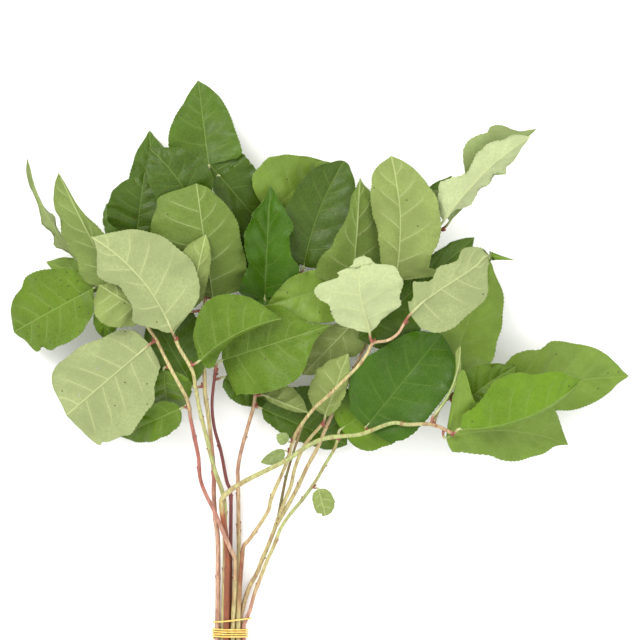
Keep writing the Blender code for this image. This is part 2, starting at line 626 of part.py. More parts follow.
def band_mesh(name, stems, y, turns, pitch, slant):
    """A band drawn tight round all the stems: one closed loop, or several turns side by side."""
    reach = abs(turns * pitch) + BAND_MARGIN
    circles = []
    for line in stems.values():
        if STEMS[line.name].parent is None:
            near = np.abs(line.points[:, 1] - y) < reach
            circles += [(p[0], p[2], line.radius[0]) for p in line.points[near]]
    loop = hull_outline(circles, GAP + BAND_RADIUS)
    lean = slant * (loop[:, 0] - loop[:, 0].mean()) / np.ptp(loop[:, 0])
    count = max(1, round(turns * BAND_POINTS))
    step = np.arange(count) % BAND_POINTS
    along_y = y + lean[step] + pitch * np.arange(count) / BAND_POINTS
    points = np.column_stack([loop[step, 0], along_y, loop[step, 1]])
    closed = pitch == 0
    run = np.roll(points, -1, axis=0) - np.roll(points, 1, axis=0)
    if not closed:
        run[0], run[-1] = points[1] - points[0], points[-1] - points[-2]
    rings = []
    turn = FULL_TURN * np.arange(BAND_SIDES) / BAND_SIDES
    for p, d in zip(points, unit(run)):
        side = unit(np.array([0.0, 1.0, 0.0]) - d * d[1])
        spokes = np.cos(turn)[:, None] * side + np.sin(turn)[:, None] * np.cross(d, side)
        rings.append(p + BAND_RADIUS * spokes)
    return mesh_from_rings(name, rings, closed)


def build_bands(stems):
    """The wound rubber band, and the single turn above it."""
    wound = band_mesh("rubber_band_wound", stems, WOUND_Y, WOUND_TURNS, WOUND_PITCH, WOUND_SLANT)
    add_object("rubber_band_wound", wound, BAND_COLOUR, BAND_ROUGHNESS)
    single = band_mesh("rubber_band_single", stems, SINGLE_Y, 1, 0, SINGLE_SLANT)
    add_object("rubber_band_single", single, BAND_COLOUR, BAND_ROUGHNESS)


def main():
    for old in list(bpy.data.objects):
        bpy.data.objects.remove(old)
    stems, blades = settle_pile()
    for name in stems:
        if STEMS[name].parent is None:
            build_stem(name, stems)
    for name, blade in blades.items():
        build_leaf(name, blade, stems[blade.leaf.stem])
    build_bands(stems)


main()
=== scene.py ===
"""A tied bunch of cut salal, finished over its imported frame.

X runs across the bunch, Y along it from the cut ends to the leaf tips, and Z
up from the surface that it lies on. The pile is worked out in millimetres,
as the frame was, and every mesh is written in metres.
"""

import json
import math
from collections import namedtuple

import bmesh
import bpy
import numpy as np
from bpy.props import FloatProperty, FloatVectorProperty, IntProperty, PointerProperty
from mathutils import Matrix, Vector

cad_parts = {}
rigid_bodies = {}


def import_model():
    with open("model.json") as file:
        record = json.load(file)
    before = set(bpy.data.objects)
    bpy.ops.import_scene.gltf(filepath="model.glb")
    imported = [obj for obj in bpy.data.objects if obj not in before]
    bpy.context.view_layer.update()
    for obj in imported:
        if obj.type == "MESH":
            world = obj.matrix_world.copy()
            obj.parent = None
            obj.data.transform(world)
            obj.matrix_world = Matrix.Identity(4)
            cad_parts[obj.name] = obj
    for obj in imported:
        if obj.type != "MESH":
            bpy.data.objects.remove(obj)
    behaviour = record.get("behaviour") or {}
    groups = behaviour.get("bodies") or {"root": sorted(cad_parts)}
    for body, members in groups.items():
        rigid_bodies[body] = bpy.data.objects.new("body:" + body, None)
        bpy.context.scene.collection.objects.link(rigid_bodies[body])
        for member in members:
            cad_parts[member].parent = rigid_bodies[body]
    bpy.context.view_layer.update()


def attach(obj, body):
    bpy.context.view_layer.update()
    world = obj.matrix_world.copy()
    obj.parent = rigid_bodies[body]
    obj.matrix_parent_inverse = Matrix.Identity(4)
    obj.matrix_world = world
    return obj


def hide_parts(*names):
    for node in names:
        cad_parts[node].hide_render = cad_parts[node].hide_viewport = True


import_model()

bl_info = {
    "name": "Salal bunch",
    "version": (1, 0, 0),
    "blender": (4, 5, 0),
    "location": "3D View > Sidebar > Salal bunch",
    "description": "Finishes a tied bunch of cut salal over its packed frame",
    "category": "Object",
}

BODY = "root"

MM = 0.001
GAP = 0.35
FULL_TURN = 2 * math.pi
LEAST_LENGTH = 1e-9

# The tie and the cut ends
BAND_Y = -158.0
HELD_REACH = 20.0
CUT_Y = -255.0
CUT_STAGGER = 1.5
CUT_SPREAD = 7
CUT_CYCLE = 4
BUNDLE_X = -67.0
CUT_SPLAY = 1.25
CUT_DROP = 1.7
BAND_RADIUS = 0.6
BAND_POINTS = 96
WOUND_Y = -163.4
WOUND_TURNS = 4.3
WOUND_PITCH = 1.75
WOUND_SLANT = 0.6
SINGLE_Y = -150.0
SINGLE_SLANT = 3.0
BAND_MARGIN = 3.5
OUTLINE_POINTS = 180

# The stems: how they thin towards their tips, and how a twig takes its parent's height
FINE_STEP = 2.0
TAPER_POWER = 1.3
TWIG_FOLLOW = 0.7
TWIG_FOOT = 14.0
EASE_LENGTH = 26.0

# The leaves: thickness, stalks, edge waves and the height of a blade's base beside its stem
BLADE_THICKNESS = 0.6
STALK_RADIUS = 1.1
SMALL_STALK_RADIUS = 0.75
SMALL_LEAF = 32.0
END_CLEARANCE = 7.0
STALK_POINTS = 12
STALK_PULL = 0.4
STALK_AIM = 0.08
BASE_ABOVE = 2.5
BASE_BELOW = -3.5
FULL_CURL_WIDTH = 50.0
CURL_POWER = 1.5
END_GUARD = 1e-6
WAVE_SHARE = 0.03
WAVE_MOST = 1.3
WAVE_SMALL = 0.3
WAVE_COUNT = 2.6
WAVE_SIDE_SHIFT = 1.4
PHASE_PER_MM = (0.37, 0.53)
DEFAULT_CURL = {"upper": 5.0, "under": -5.0}

# The height map that keeps each piece clear of what lies under it, and how a leaf is fitted to it
CELL = 2.0
MAP_X = 260.0
MAP_Y = 280.0
SAMPLE_STEP = 1.6
FEWEST_SAMPLES = 8
END_SAMPLE = 0.01
NORMAL_STEP = 0.004
STEM_SIDES_COVERED = (-0.8, 0.0, 0.8)
LEAF_GAP = 2.2
STEM_GAP = 0.4
RISES = np.arange(0.0, 60.0, 1.5)
ROLLS = np.arange(-9.0, 9.1, 3.0)
RISE_COST = 1.6
ROLL_COST = 0.5
LEAST_TILT_SHARE = 0.05

Stem = namedtuple("Stem", "name thick thin path slot parent", defaults=(None, None))
Leaf = namedtuple(
    "Leaf",
    "name stem base tip left right bend shape rise arch curl_left curl_right face at_end",
    defaults=(0.0, (0.45, 0.7), 0.0, 5.0, None, None, "upper", False),
)

# From the surface up: each stem or leaf lies over those before it. All is in millimetres, apart from shape,
# which is the powers of the two ends of a leaf's plain outline. The first point of each main stem is where
# the bands hold it.
PILE = (
    Stem("stem_c", 2.1, 1.4, [
        (-77.0, -158, 3.9), (-76.6, -130, 6), (-76.5, -91, 10), (-78.5, -72, 12), (-79.5, -54, 14),
        (-79.5, -37, 16), (-83, 1, 21), (-85.5, 19, 24), (-86, 32, 26), (-87, 60, 29), (-85.5, 90, 32),
        (-84, 120, 34), (-86, 148, 34), (-82, 184, 32)], "pink_stem"),
    Stem("stem_c_twig", 1.3, 1.0, [
        (-85.5, 92, 32), (-98, 110, 30), (-116, 122, 27), (-134, 130, 24)], parent="stem_c"),
    Leaf("leaf_04", "stem_c_twig", (-122, 134), (-128, 217), 18, 19, rise=-26),
    Leaf("leaf_01", "stem_c", (-82.5, 190), (-91.5, 255), 28, 26, 0, (0.35, 0.9), rise=-36, at_end=True),
    Leaf("leaf_02", "stem_c", (-74.5, 182), (-43.5, 146), 25.5, 25.5, 0, (0.45, 0.6), rise=-14),
    Leaf("leaf_06", "stem_c_twig", (-140, 133), (-160, 162), 13, 12, rise=-22, at_end=True),
    Leaf("leaf_05", "stem_c_twig", (-136, 137), (-130, 184), 25, 18),
    Leaf("leaf_03", "stem_c", (-91, 153), (-126, 202), 22, 24, -3.5, rise=-4),
    Leaf("leaf_48", "stem_c", (-95, 26), (-120, 70), 11, 11, rise=-4),
    Leaf("leaf_49", "stem_a", (-116, 38), (-114, 4.5), 15, 16, rise=-34),
    Leaf("leaf_50", "stem_a", (-104, 9), (-151, -12), 15, 12, rise=-34),
    Leaf("leaf_45", "stem_d", (-71, 32), (-34, 11), 15, 12, rise=-24),
    Stem("stem_d", 1.8, 1.3, [
        (-68.1, -158, 3.7), (-67.6, -130, 4), (-67.2, -105, 4.5), (-66.9, -80, 6), (-67, -55, 8),
        (-70, -45, 10), (-74, -24, 13), (-79, -5, 17), (-80.5, 13.5, 21), (-78, 37, 26)], "red_stem"),
    Stem("stem_e", 1.9, 1.3, [
        (-64.1, -158, 3.8), (-62.5, -130, 4), (-61, -105, 4.5), (-61, -80, 5.5), (-61.5, -44, 8),
        (-61.5, -37, 9), (-59, -23, 11), (-52, 2, 16), (-49.5, 11, 18), (-46, 37, 22), (-40.5, 67, 27),
        (-36, 86, 30), (-24, 99, 32), (-15, 109, 33)], "brown_stem"),
    Stem("stem_e_twig", 1.2, 1.0, [
        (-38, 80, 29), (-40, 108, 29), (-42, 132, 28), (-41, 148, 27)], parent="stem_e"),
    Leaf("leaf_20", "stem_e_twig", (-39, 155), (7.5, 193), 31, 22, 0, (0.35, 0.8), rise=-22, at_end=True),
    Leaf("leaf_21", "stem_e", (-12, 115), (18, 193), 24, 24, 4, (0.4, 0.45), rise=-4, at_end=True),
    Leaf("leaf_46", "stem_e", (-43.5, 9), (7.5, -13), 16, 11, rise=-12),
    Stem("stem_h", 2.1, 1.4, [
        (-59.7, -158, 4.0), (-58.6, -144, 4.3), (-53.3, -126, 5.5), (-47.3, -115, 7), (-43.1, -104, 9),
        (-39, -94.5, 11), (-34.2, -82, 13), (-30.4, -71, 15), (-26.3, -60, 18), (-21.8, -49, 20),
        (-18, -33, 24), (-10.5, -17, 28), (1.2, -3, 32)], "green_stem"),
    Stem("stem_h_thin", 1.2, 0.9, [
        (-31.5, -74, 14.5), (-28.5, -58, 16), (-25.6, -43.5, 18), (-21.8, -30, 20), (-17, -15, 22),
        (-13, -4, 24), (-9, 6, 25)], parent="stem_h"),
    Stem("stem_h_long", 1.6, 1.0, [
        (-33, -79, 13.5), (-26.5, -68, 15), (-20.9, -58, 17), (-16, -48.5, 19), (-9.3, -34, 22),
        (-1.7, -19.8, 25), (5.3, -3, 28), (13.5, 13.5, 31), (25, 38, 34), (36, 60, 37), (43.5, 75, 39),
        (53, 94.5, 41), (64, 118, 43), (78, 134, 45), (90, 142, 46)], parent="stem_h"),
    Stem("stem_h_side", 1.1, 0.9, [
        (33, 54, 36.3), (29, 68, 37), (22, 82, 38), (16, 93, 38)], parent="stem_h_long"),
    Leaf("leaf_41", "stem_h_side", (19.5, 67.5), (-13, 34), 8, 14, rise=-18, face="under"),
    Leaf("leaf_25", "stem_h_long", (61, 127), (98, 182), 14, 9, rise=-12),
    Leaf("leaf_24_back", "stem_h_long", (96, 148), (161, 217), 25, 12, 4, rise=-12, at_end=True),
    Leaf("leaf_24", "stem_h_long", (91, 148), (154.5, 210), 17, 10, 4.5, curl_left=-12, face="under"),
    Stem("stem_f_twig", 1.2, 1.0, [
        (84, -2, 50), (86.5, 5, 44), (92, 14, 37), (105, 22, 33), (121, 26, 29)], parent="stem_f"),
    Leaf("leaf_29", "stem_f_twig", (92, 27), (128, 118.5), 22, 27, 0, rise=-38),
    Leaf("leaf_30", "stem_f_twig", (128, 26), (232, 33), 30, 23, 0, (0.45, 0.6), rise=-34, at_end=True),
    Leaf("leaf_33", "stem_f_twig", (102, 9), (145, 40), 17, 19, 2, rise=-16),
    Leaf("leaf_32", "stem_f", (93, -12), (185, -18), 28, 26, 8, (0.35, 0.6), rise=-32),
    Leaf("leaf_28", "stem_h_long", (60, 89), (115, 136.5), 12, 14, 0, rise=-18),
    Leaf("leaf_14", "stem_a", (-154, 101), (-205.5, 118.5), 10, 12, rise=-30),
    Leaf("leaf_08", "stem_a", (-166, 108), (-217.5, 195), 6, 5, 10, curl_left=17, curl_right=-17),
    Leaf("leaf_16", "stem_c", (-79.5, 91.5), (-91, 175.5), 37, 29, 0, (0.45, 0.42), face="under"),
    Leaf("leaf_17", "stem_c", (-97, 82), (-84, 138), 10, 10, rise=2, face="under"),
    Leaf("leaf_19", "stem_e", (-41, 91), (-37, 175), 17, 17, curl_left=13, curl_right=9),
    Leaf("leaf_40", "stem_h_side", (12, 100), (-39, 86), 18, 16, at_end=True),
    Leaf("leaf_22", "stem_h_side", (24, 92), (29.6, 180), 29, 20, 0, (0.33, 0.9), face="under"),
    Leaf("leaf_23", "stem_h_long", (56, 104), (52.5, 196), 20, 31, -5, (0.42, 0.45), face="under"),
    Leaf("leaf_44", "stem_e", (-41, 19), (-9, 6), 13, 4, rise=-2, face="under"),
    Stem("stem_b", 2.2, 1.5, [
        (-72.4, -158, 4.0), (-71.8, -130, 6), (-71, -105, 9), (-71.2, -80, 13), (-71.8, -58, 18),
        (-79, -35, 25), (-85, -9, 34), (-89, 7, 40), (-92, 25, 47), (-94.5, 38, 52), (-103.5, 54, 58),
        (-106, 60, 60)], "green_stem"),
    Stem("stem_k", 1.7, 1.3, [
        (-57.3, -158, 7.5), (-56, -151, 7.6), (-52.3, -142, 8), (-49, -130, 9), (-45.3, -120, 11),
        (-40, -106, 14), (-34.5, -94, 16), (-29.5, -81, 18), (-22.7, -70.5, 20), (-13.2, -59, 23),
        (-3.6, -45.6, 26), (3, -34, 28), (10.7, -20.8, 31), (13, -14, 32)], "green_stem"),
    Leaf("leaf_38", "stem_d", (-73, 45), (9, 71.6), 30, 34, 0, (0.4, 0.75), rise=12, at_end=True),
    Leaf("leaf_39", "stem_b", (-89, 45), (-28.5, 76), 32, 5, 5, (0.45, 0.55), curl_left=4,
         curl_right=-14),
    Leaf("leaf_36", "stem_k", (15.5, -6), (73.5, 31.5), 22, 29, 0, (0.3, 0.6), rise=8, at_end=True),
    Leaf("leaf_35", "stem_f", (34, -4), (90, 64.5), 36, 30, 0, (0.45, 0.45), rise=-6),
    Leaf("leaf_34", "stem_f", (84, 5), (103.5, 56), 12, 6, -5, rise=-8, face="under"),
    Leaf("leaf_31", "stem_f", (103, -5), (194, 31), 34, 5, -10, (0.5, 0.6), rise=-14, curl_right=-18,
         at_end=True),
    Leaf("leaf_43", "stem_h", (4, 4), (21, 50), 19, 8, rise=6, face="under", at_end=True),
    Stem("stem_g", 1.8, 1.2, [
        (-61.2, -158, 8.2), (-60.2, -130, 10), (-58.5, -105, 13), (-57, -94, 15), (-52, -88, 17),
        (-39, -68, 23), (-36, -57, 26), (-25.5, -33, 31), (-22, -21, 34), (-19, -12, 37), (-15, -4.5, 39),
        (-10.5, 2, 42), (-3, 11, 46), (7, 20, 51), (17, 30, 56), (27, 40, 61), (34.5, 50, 66),
        (39, 58, 69), (49.5, 60, 71), (57, 65, 73), (62, 73, 75)], "brown_stem"),
    Leaf("small_leaf_2", "stem_g", (-26.5, -22), (-44, -31), 6, 4, 0, arch=2),
    Leaf("small_leaf_3", "stem_g", (-24, -15), (-32, -10), 5, 5, 0, arch=2),
    Stem("stem_f", 2.5, 1.5, [
        (-70.2, -158, 8.6), (-69.8, -130, 9.5), (-69.3, -105, 13), (-70.5, -85, 17), (-73.5, -62, 22),
        (-68, -53, 26), (-52.5, -43, 32), (-25.5, -29, 42), (-7, -17, 47), (6, -12, 49), (26, -10, 50),
        (34, -8, 51), (53, -1, 52), (64, -2, 53), (82, -2, 54), (97, -8, 55)], "brown_stem"),
    Stem("stem_a", 1.9, 1.3, [
        (-65.3, -158, 8.0), (-64, -128, 9.5), (-63.5, -105, 12), (-67, -95.8, 16), (-73.5, -80, 22),
        (-79, -67, 24), (-85.5, -54, 25), (-89.3, -42.6, 26), (-90.2, -30.5, 27), (-91, -24, 28),
        (-96, 1, 33), (-98, 15, 36), (-106, 31, 40), (-114, 46, 43), (-121, 60, 45), (-127, 69, 45),
        (-136, 82, 38), (-150, 91, 32), (-160, 97, 28)], "pink_stem"),
    Leaf("leaf_26", "stem_g", (36.5, 65), (27, 115.5), 33, 32, 0, (0.5, 0.28), arch=8, face="under"),
    Leaf("leaf_27", "stem_g", (66, 79), (143, 119), 17, 28, 8, rise=-8, curl_left=-4, face="under",
         at_end=True),
    Leaf("leaf_15", "stem_a", (-157, 88), (-161, 61), 11, 10, rise=-8),
    Leaf("leaf_12", "stem_a", (-168, 98.5), (-229.5, 66), 27, 32, 0, (0.5, 0.45), rise=-36, at_end=True),
    Leaf("leaf_09", "stem_a", (-147.5, 97), (-193, 184), 18, 16, 1.5, rise=10, face="under"),
    Leaf("leaf_13", "stem_a", (-127.5, 79), (-160, 99), 17, 17, rise=-16, curl_left=-3, curl_right=-3,
         face="under"),
    Leaf("leaf_10", "stem_a", (-126, 57), (-189, 4), 37, 33, 0, (0.5, 0.38), rise=-24, face="under"),
    Leaf("leaf_11", "stem_b", (-108.5, 66), (-168, 136), 24, 38, -8, (0.45, 0.5), rise=4, face="under",
         at_end=True),
    Leaf("small_leaf_1", "stem_k", (-1, -51), (4, -70.5), 9.5, 7, 0, (0.4, 0.4), arch=2, face="under"),
)
STEMS = {piece.name: piece for piece in PILE if isinstance(piece, Stem)}


def main_stem(name):
    """The main stem that a stem or twig belongs to."""
    parent = STEMS[name].parent
    return main_stem(parent) if parent else name


def smooth_curve(points, step):
    """Points about `step` apart on a smooth curve through the given points."""
    p = np.array(points, float)
    p = np.vstack([2 * p[0] - p[1], p, 2 * p[-1] - p[-2]])
    out = []
    for a, b, c, d in zip(p[:-3], p[1:-2], p[2:-1], p[3:]):
        count = max(1, int(round(np.linalg.norm(c - b) / step)))
        for t in np.arange(count) / count:
            out.append(0.5 * (2 * b + (c - a) * t + (2 * a - 5 * b + 4 * c - d) * t**2
                              + (3 * b - 3 * c + d - a) * t**3))
    out.append(p[-2])
    return np.array(out)


def along(points):
    """The distance along a line of points, at each point."""
    return np.concatenate([[0.0], np.cumsum(np.linalg.norm(np.diff(points, axis=0), axis=1))])


def unit(v):
    """A vector, or rows of vectors, at length one."""
    return v / np.maximum(np.linalg.norm(v, axis=-1, keepdims=True), LEAST_LENGTH)


class HeightMap:
    """The height of the pile over a grid of square cells."""

    def __init__(self):
        self.top = np.zeros((int(2 * MAP_X / CELL), int(2 * MAP_Y / CELL)))

    def cells(self, x, y):
        """The cells that hold each point, kept off the map's border."""
        i = np.clip(((x + MAP_X) / CELL).astype(int), 1, self.top.shape[0] - 2)
        j = np.clip(((y + MAP_Y) / CELL).astype(int), 1, self.top.shape[1] - 2)
        return i, j

    def add(self, x, y, z):
        """Raises the cells around each point to its height."""
        i, j = self.cells(x, y)
        for di in (-1, 0, 1):
            for dj in (-1, 0, 1):
                np.maximum.at(self.top, (i + di, j + dj), z)

    def at(self, x, y):
        """The height of the pile under each point."""
        i, j = self.cells(x, y)
        return self.top[i, j]


def eased(lift, distance):
    """A lift spread smoothly to both sides, nowhere less than the given one."""
    apart = np.abs(distance[:, None] - distance[None, :]) / EASE_LENGTH
    weight = np.where(apart < 1, 0.5 + 0.5 * np.cos(np.pi * np.clip(apart, 0, 1)), 0.0)
    return (lift[None, :] * weight).max(axis=1)


def whole_path(stem):
    """A stem's path, which for a main stem starts at its cut end, below the bands."""
    if stem.parent:
        return stem.path
    x, _, z = stem.path[0]
    cut_x = BUNDLE_X + (x - BUNDLE_X) * CUT_SPLAY
    cut_end = (cut_x, CUT_Y + CUT_STAGGER * ((x * CUT_SPREAD) % CUT_CYCLE), z - CUT_DROP)
    return [cut_end, ((cut_x + x) / 2, (CUT_Y + BAND_Y) / 2, z - CUT_DROP / 2), *stem.path]


class StemLine:
    """A stem's centreline, with its radius, settled on the pile."""

    def __init__(self, stem, settled, leaf_map):
        self.name = stem.name
        self.points = smooth_curve(whole_path(stem), FINE_STEP)
        self.distance = along(self.points)
        share = self.distance / self.distance[-1]
        self.radius = stem.thick + (stem.thin - stem.thick) * share**TAPER_POWER
        if stem.parent in settled:
            parent = settled[stem.parent]
            self.points[:, 2] += self.step_to(parent) * (1 - TWIG_FOLLOW * share)
        need = np.zeros(len(self.points))
        for other in settled.values():
            if main_stem(other.name) != main_stem(stem.name):
                need = np.maximum(need, self.need_over(other))
        leaves = leaf_map.at(self.points[:, 0], self.points[:, 1])
        over = np.where(leaves > 0, leaves + self.radius + LEAF_GAP / 2 - self.points[:, 2], 0)
        held = self.points[:, 1] < BAND_Y + HELD_REACH
        need = np.maximum(need, np.where(held, 0, over))
        self.points[:, 2] += eased(need, self.distance)

    def step_to(self, parent):
        """How far this twig's foot is below its parent's centreline."""
        return parent.points[parent.nearest(self.points[0][:2])][2] - self.points[0][2]

    def join(self, parent):
        """Turns the twig's foot up or down to meet its parent."""
        fade = np.clip(1 - self.distance / TWIG_FOOT, 0, 1)**2
        self.points[:, 2] += self.step_to(parent) * fade

    def nearest(self, xy):
        """The number of the point nearest to a place, seen from above."""
        return int(np.argmin(np.linalg.norm(self.points[:, :2] - np.array(xy), axis=1)))

    def need_over(self, other):
        """How far each point must rise to lie on another stem."""
        flat = np.linalg.norm(self.points[:, None, :2] - other.points[None, :, :2], axis=2)
        reach = self.radius[:, None] + other.radius[None, :] + STEM_GAP
        rise = np.sqrt(np.maximum(reach**2 - flat**2, 0)) + other.points[None, :, 2]
        need = np.where(flat < reach, rise - self.points[:, None, 2], 0).max(axis=1)
        beside = np.linalg.norm(self.points[:, None, :] - other.points[None, :, :], axis=2) - reach
        return np.where(beside.min(axis=1) < 0, np.maximum(need, 0), 0)

    def cover(self, *maps):
        """Adds the stem to height maps."""
        for height_map in maps:
            for side in STEM_SIDES_COVERED:
                height_map.add(self.points[:, 0] + side * self.radius, self.points[:, 1],
                               self.points[:, 2] + self.radius)


class Blade:
    """A leaf's surface: u runs from its base to its tip, and v from right (-1) to left (+1)."""

    def __init__(self, leaf, stem_z, above):
        self.leaf = leaf
        self.base = np.array(leaf.base, float)
        chord = np.array(leaf.tip, float) - self.base
        self.length = float(np.linalg.norm(chord))
        self.chord = chord
        self.side = np.array([-chord[1], chord[0]]) / self.length
        a, b = leaf.shape
        self.a, self.b, self.peak = a, b, a / (a + b)
        curl = DEFAULT_CURL[leaf.face] * min(1.0, (leaf.left + leaf.right) / FULL_CURL_WIDTH)
        self.curl_left = curl if leaf.curl_left is None else leaf.curl_left
        self.curl_right = curl if leaf.curl_right is None else leaf.curl_right
        self.z0 = stem_z + (BASE_ABOVE if above else BASE_BELOW)
        self.lift = (0.0, 0.0, 0.0)
        self.wave = min(WAVE_MOST, WAVE_SHARE * self.length) if self.length > SMALL_LEAF else WAVE_SMALL
        self.stalk = STALK_RADIUS if self.length > SMALL_LEAF else SMALL_STALK_RADIUS
        self.phase = (leaf.base[0] * PHASE_PER_MM[0] + leaf.base[1] * PHASE_PER_MM[1]) % FULL_TURN

    def width(self, u):
        """The outline: 0 at both ends, 1 at the widest place."""
        u = np.clip(u, END_GUARD, 1 - END_GUARD)
        return (u / self.peak)**self.a * ((1 - u) / (1 - self.peak))**self.b

    def point(self, u, v):
        """Points of the middle surface, curled, waved and lifted onto the pile."""
        u, v = np.broadcast_arrays(np.asarray(u, float), np.asarray(v, float))
        leaf = self.leaf
        wide = self.width(u)
        hump = 4 * u * (1 - u)
        across = np.where(v > 0, leaf.left, leaf.right) * wide * v + leaf.bend * hump
        xy = self.base + self.chord * u[..., None] + self.side * across[..., None]
        curl = np.where(v > 0, self.curl_left, self.curl_right)
        lift, tilt, roll = self.lift
        z = self.z0 + lift + leaf.rise * u + leaf.arch * hump + tilt * (1 - (1 - u)**2)
        z = z + curl * wide * np.abs(v)**CURL_POWER + roll * v * wide
        angle = FULL_TURN * WAVE_COUNT * u + self.phase + WAVE_SIDE_SHIFT * np.sign(v)
        z = z + self.wave * wide * v**2 * np.sin(angle)
        return np.concatenate([xy, z[..., None]], axis=-1)

    def samples(self):
        """A grid of places over the blade."""
        u = np.linspace(END_SAMPLE, 1 - END_SAMPLE, max(FEWEST_SAMPLES, int(self.length / SAMPLE_STEP)))
        v = np.linspace(-1, 1, max(FEWEST_SAMPLES, int((self.leaf.left + self.leaf.right) / SAMPLE_STEP)))
        return np.meshgrid(u, v, indexing="ij")

    def settle(self, height_map):
        """Lifts the leaf by the least rise, tilt and roll that clear the pile."""
        u, v = self.samples()
        p = self.point(u, v)
        below = height_map.at(p[..., 0], p[..., 1])
        need = np.where(below > 0, below + LEAF_GAP, BLADE_THICKNESS) - p[..., 2]
        tilt_share = np.maximum(1 - (1 - u)**2, LEAST_TILT_SHARE)
        roll_share = v * self.width(u)
        least = math.inf
        for lift in RISES:
            for roll in ROLLS:
                tilt = max(0.0, float(((need - lift - roll * roll_share) / tilt_share).max()))
                cost = RISE_COST * lift + tilt + ROLL_COST * abs(roll)
                if cost < least:
                    least, self.lift = cost, (float(lift), tilt, float(roll))

    def cover(self, *maps):
        """Adds the blade to height maps."""
        u, v = self.samples()
        p = self.point(u, v)
        for height_map in maps:
            height_map.add(p[..., 0].ravel(), p[..., 1].ravel(), p[..., 2].ravel() + BLADE_THICKNESS / 2)

    def normal(self, u, v):
        """The way that the surface faces."""
        h = NORMAL_STEP
        du = self.point(np.minimum(u + h, 1), v) - self.point(np.maximum(u - h, 0), v)
        dv = self.point(u, np.minimum(v + h, 1)) - self.point(u, np.maximum(v - h, -1))
        return unit(np.cross(du, dv))


def stem_height(stem, xy):
    """The drawn height of a stem's path next to a place."""
    points = smooth_curve(stem.path, FINE_STEP)
    return points[np.argmin(np.linalg.norm(points[:, :2] - np.array(xy), axis=1)), 2]


def settle_pile():
    """Stems and blades, each settled on what lies under it."""
    everything, leaf_map = HeightMap(), HeightMap()
    stems, blades = {}, {}
    for piece in PILE:
        if piece.name in STEMS:
            stems[piece.name] = StemLine(piece, stems, leaf_map)
            stems[piece.name].cover(everything)
            continue
        above = piece.stem in stems
        if above:
            line = stems[piece.stem]
            height = line.points[line.nearest(piece.base), 2]
        else:
            height = stem_height(STEMS[piece.stem], piece.base)
        blade = Blade(piece, height, above)
        blade.settle(everything)
        blade.cover(everything, leaf_map)
        if above:
            path, _ = stalk_path(blade, line, STALK_POINTS)
            for height_map in (everything, leaf_map):
                height_map.add(path[:, 0], path[:, 1], path[:, 2] + blade.stalk)
        blades[piece.name] = blade
    for line in stems.values():
        if STEMS[line.name].parent:
            line.join(stems[STEMS[line.name].parent])
    return stems, blades


def stalk_path(blade, line, count):
    """Points along a leaf's stalk, from just off the stem to the blade's base, and the way that it leaves."""
    base = blade.point(0.0, 0.0)
    if blade.leaf.at_end:
        centre = line.points[-1]
        out = unit(centre - line.points[-2])
        start = centre + out * GAP
    else:
        last = int(np.searchsorted(line.distance, line.distance[-1] - END_CLEARANCE))
        index = int(np.clip(line.nearest(base[:2]), 2, last))
        centre = line.points[index]
        run = unit(line.points[index + 1] - line.points[index - 1])
        out = base - centre
        out = unit(out - run * float(out @ run))
        start = centre + out * (line.radius[index] + GAP)
    pull = STALK_PULL * float(np.linalg.norm(base - start))
    into = unit(blade.point(STALK_AIM, 0.0) - base)
    t = np.linspace(0, 1, count)[:, None]
    first, second = start + out * pull, base - into * pull
    return ((1 - t)**3 * start + 3 * (1 - t)**2 * t * first + 3 * (1 - t) * t**2 * second + t**3 * base), out


def hull_outline(circles, offset):
    """The tight loop round circles of (x, z, radius), as points."""
    turn = FULL_TURN * np.arange(OUTLINE_POINTS) / OUTLINE_POINTS
    cloud = np.array([(x + (r + offset) * math.cos(t), z + (r + offset) * math.sin(t))
                      for x, z, r in circles for t in turn])
    cloud = sorted(map(tuple, cloud))

    def half(points):
        """The lower or upper side of the loop."""
        chain = []
        for p in points:
            while len(chain) > 1 and (
                (chain[-1][0] - chain[-2][0]) * (p[1] - chain[-2][1])
                - (chain[-1][1] - chain[-2][1]) * (p[0] - chain[-2][0])
            ) <= 0:
                chain.pop()
            chain.append(p)
        return chain[:-1]

    loop = np.array(half(cloud) + half(cloud[::-1]))
    loop = np.vstack([loop, loop[:1]])
    distance = along(loop)
    even = np.linspace(0, distance[-1], BAND_POINTS + 1)[:-1]
    return np.column_stack([np.interp(even, distance, loop[:, k]) for k in (0, 1)])


# How each leaf differs from a plain one. Upper and under name the colours of its faces, veins is how many
# side veins it has on each side, and tip is how far a plain outline is pinched in before its tip. Left and
# right are the half-widths of a drawn outline, as (percent of the length, millimetres), and lean is how far
# left its midrib strays, in the same way. Ripple is the height of its small edge waves, against 1 on a plain
# leaf. Start and end stretch it past its base at 0 and its tip at 1. Lobe is how far its right side reaches
# back past the base, as a share of the length. Twist is where its tip turns over, and how far along that
# takes. Sink lowers it, in millimetres. A notch, fold or hole is placed by s, 0 at the base and 1 at the tip.
PERCENT = 100
Notch = namedtuple("Notch", "side s half depth")
Fold = namedtuple("Fold", "side s half keep")
Hole = namedtuple("Hole", "s v radius")
Look = namedtuple(
    "Look",
    "upper under veins tip left right notches folds holes ripple start end lean lobe twist sink",
    defaults=("mid", "pale", 5, 0.35, (), (), (), (), (), 1.0, 0.0, 1.0, (), 0.0, None, 0.0),
)
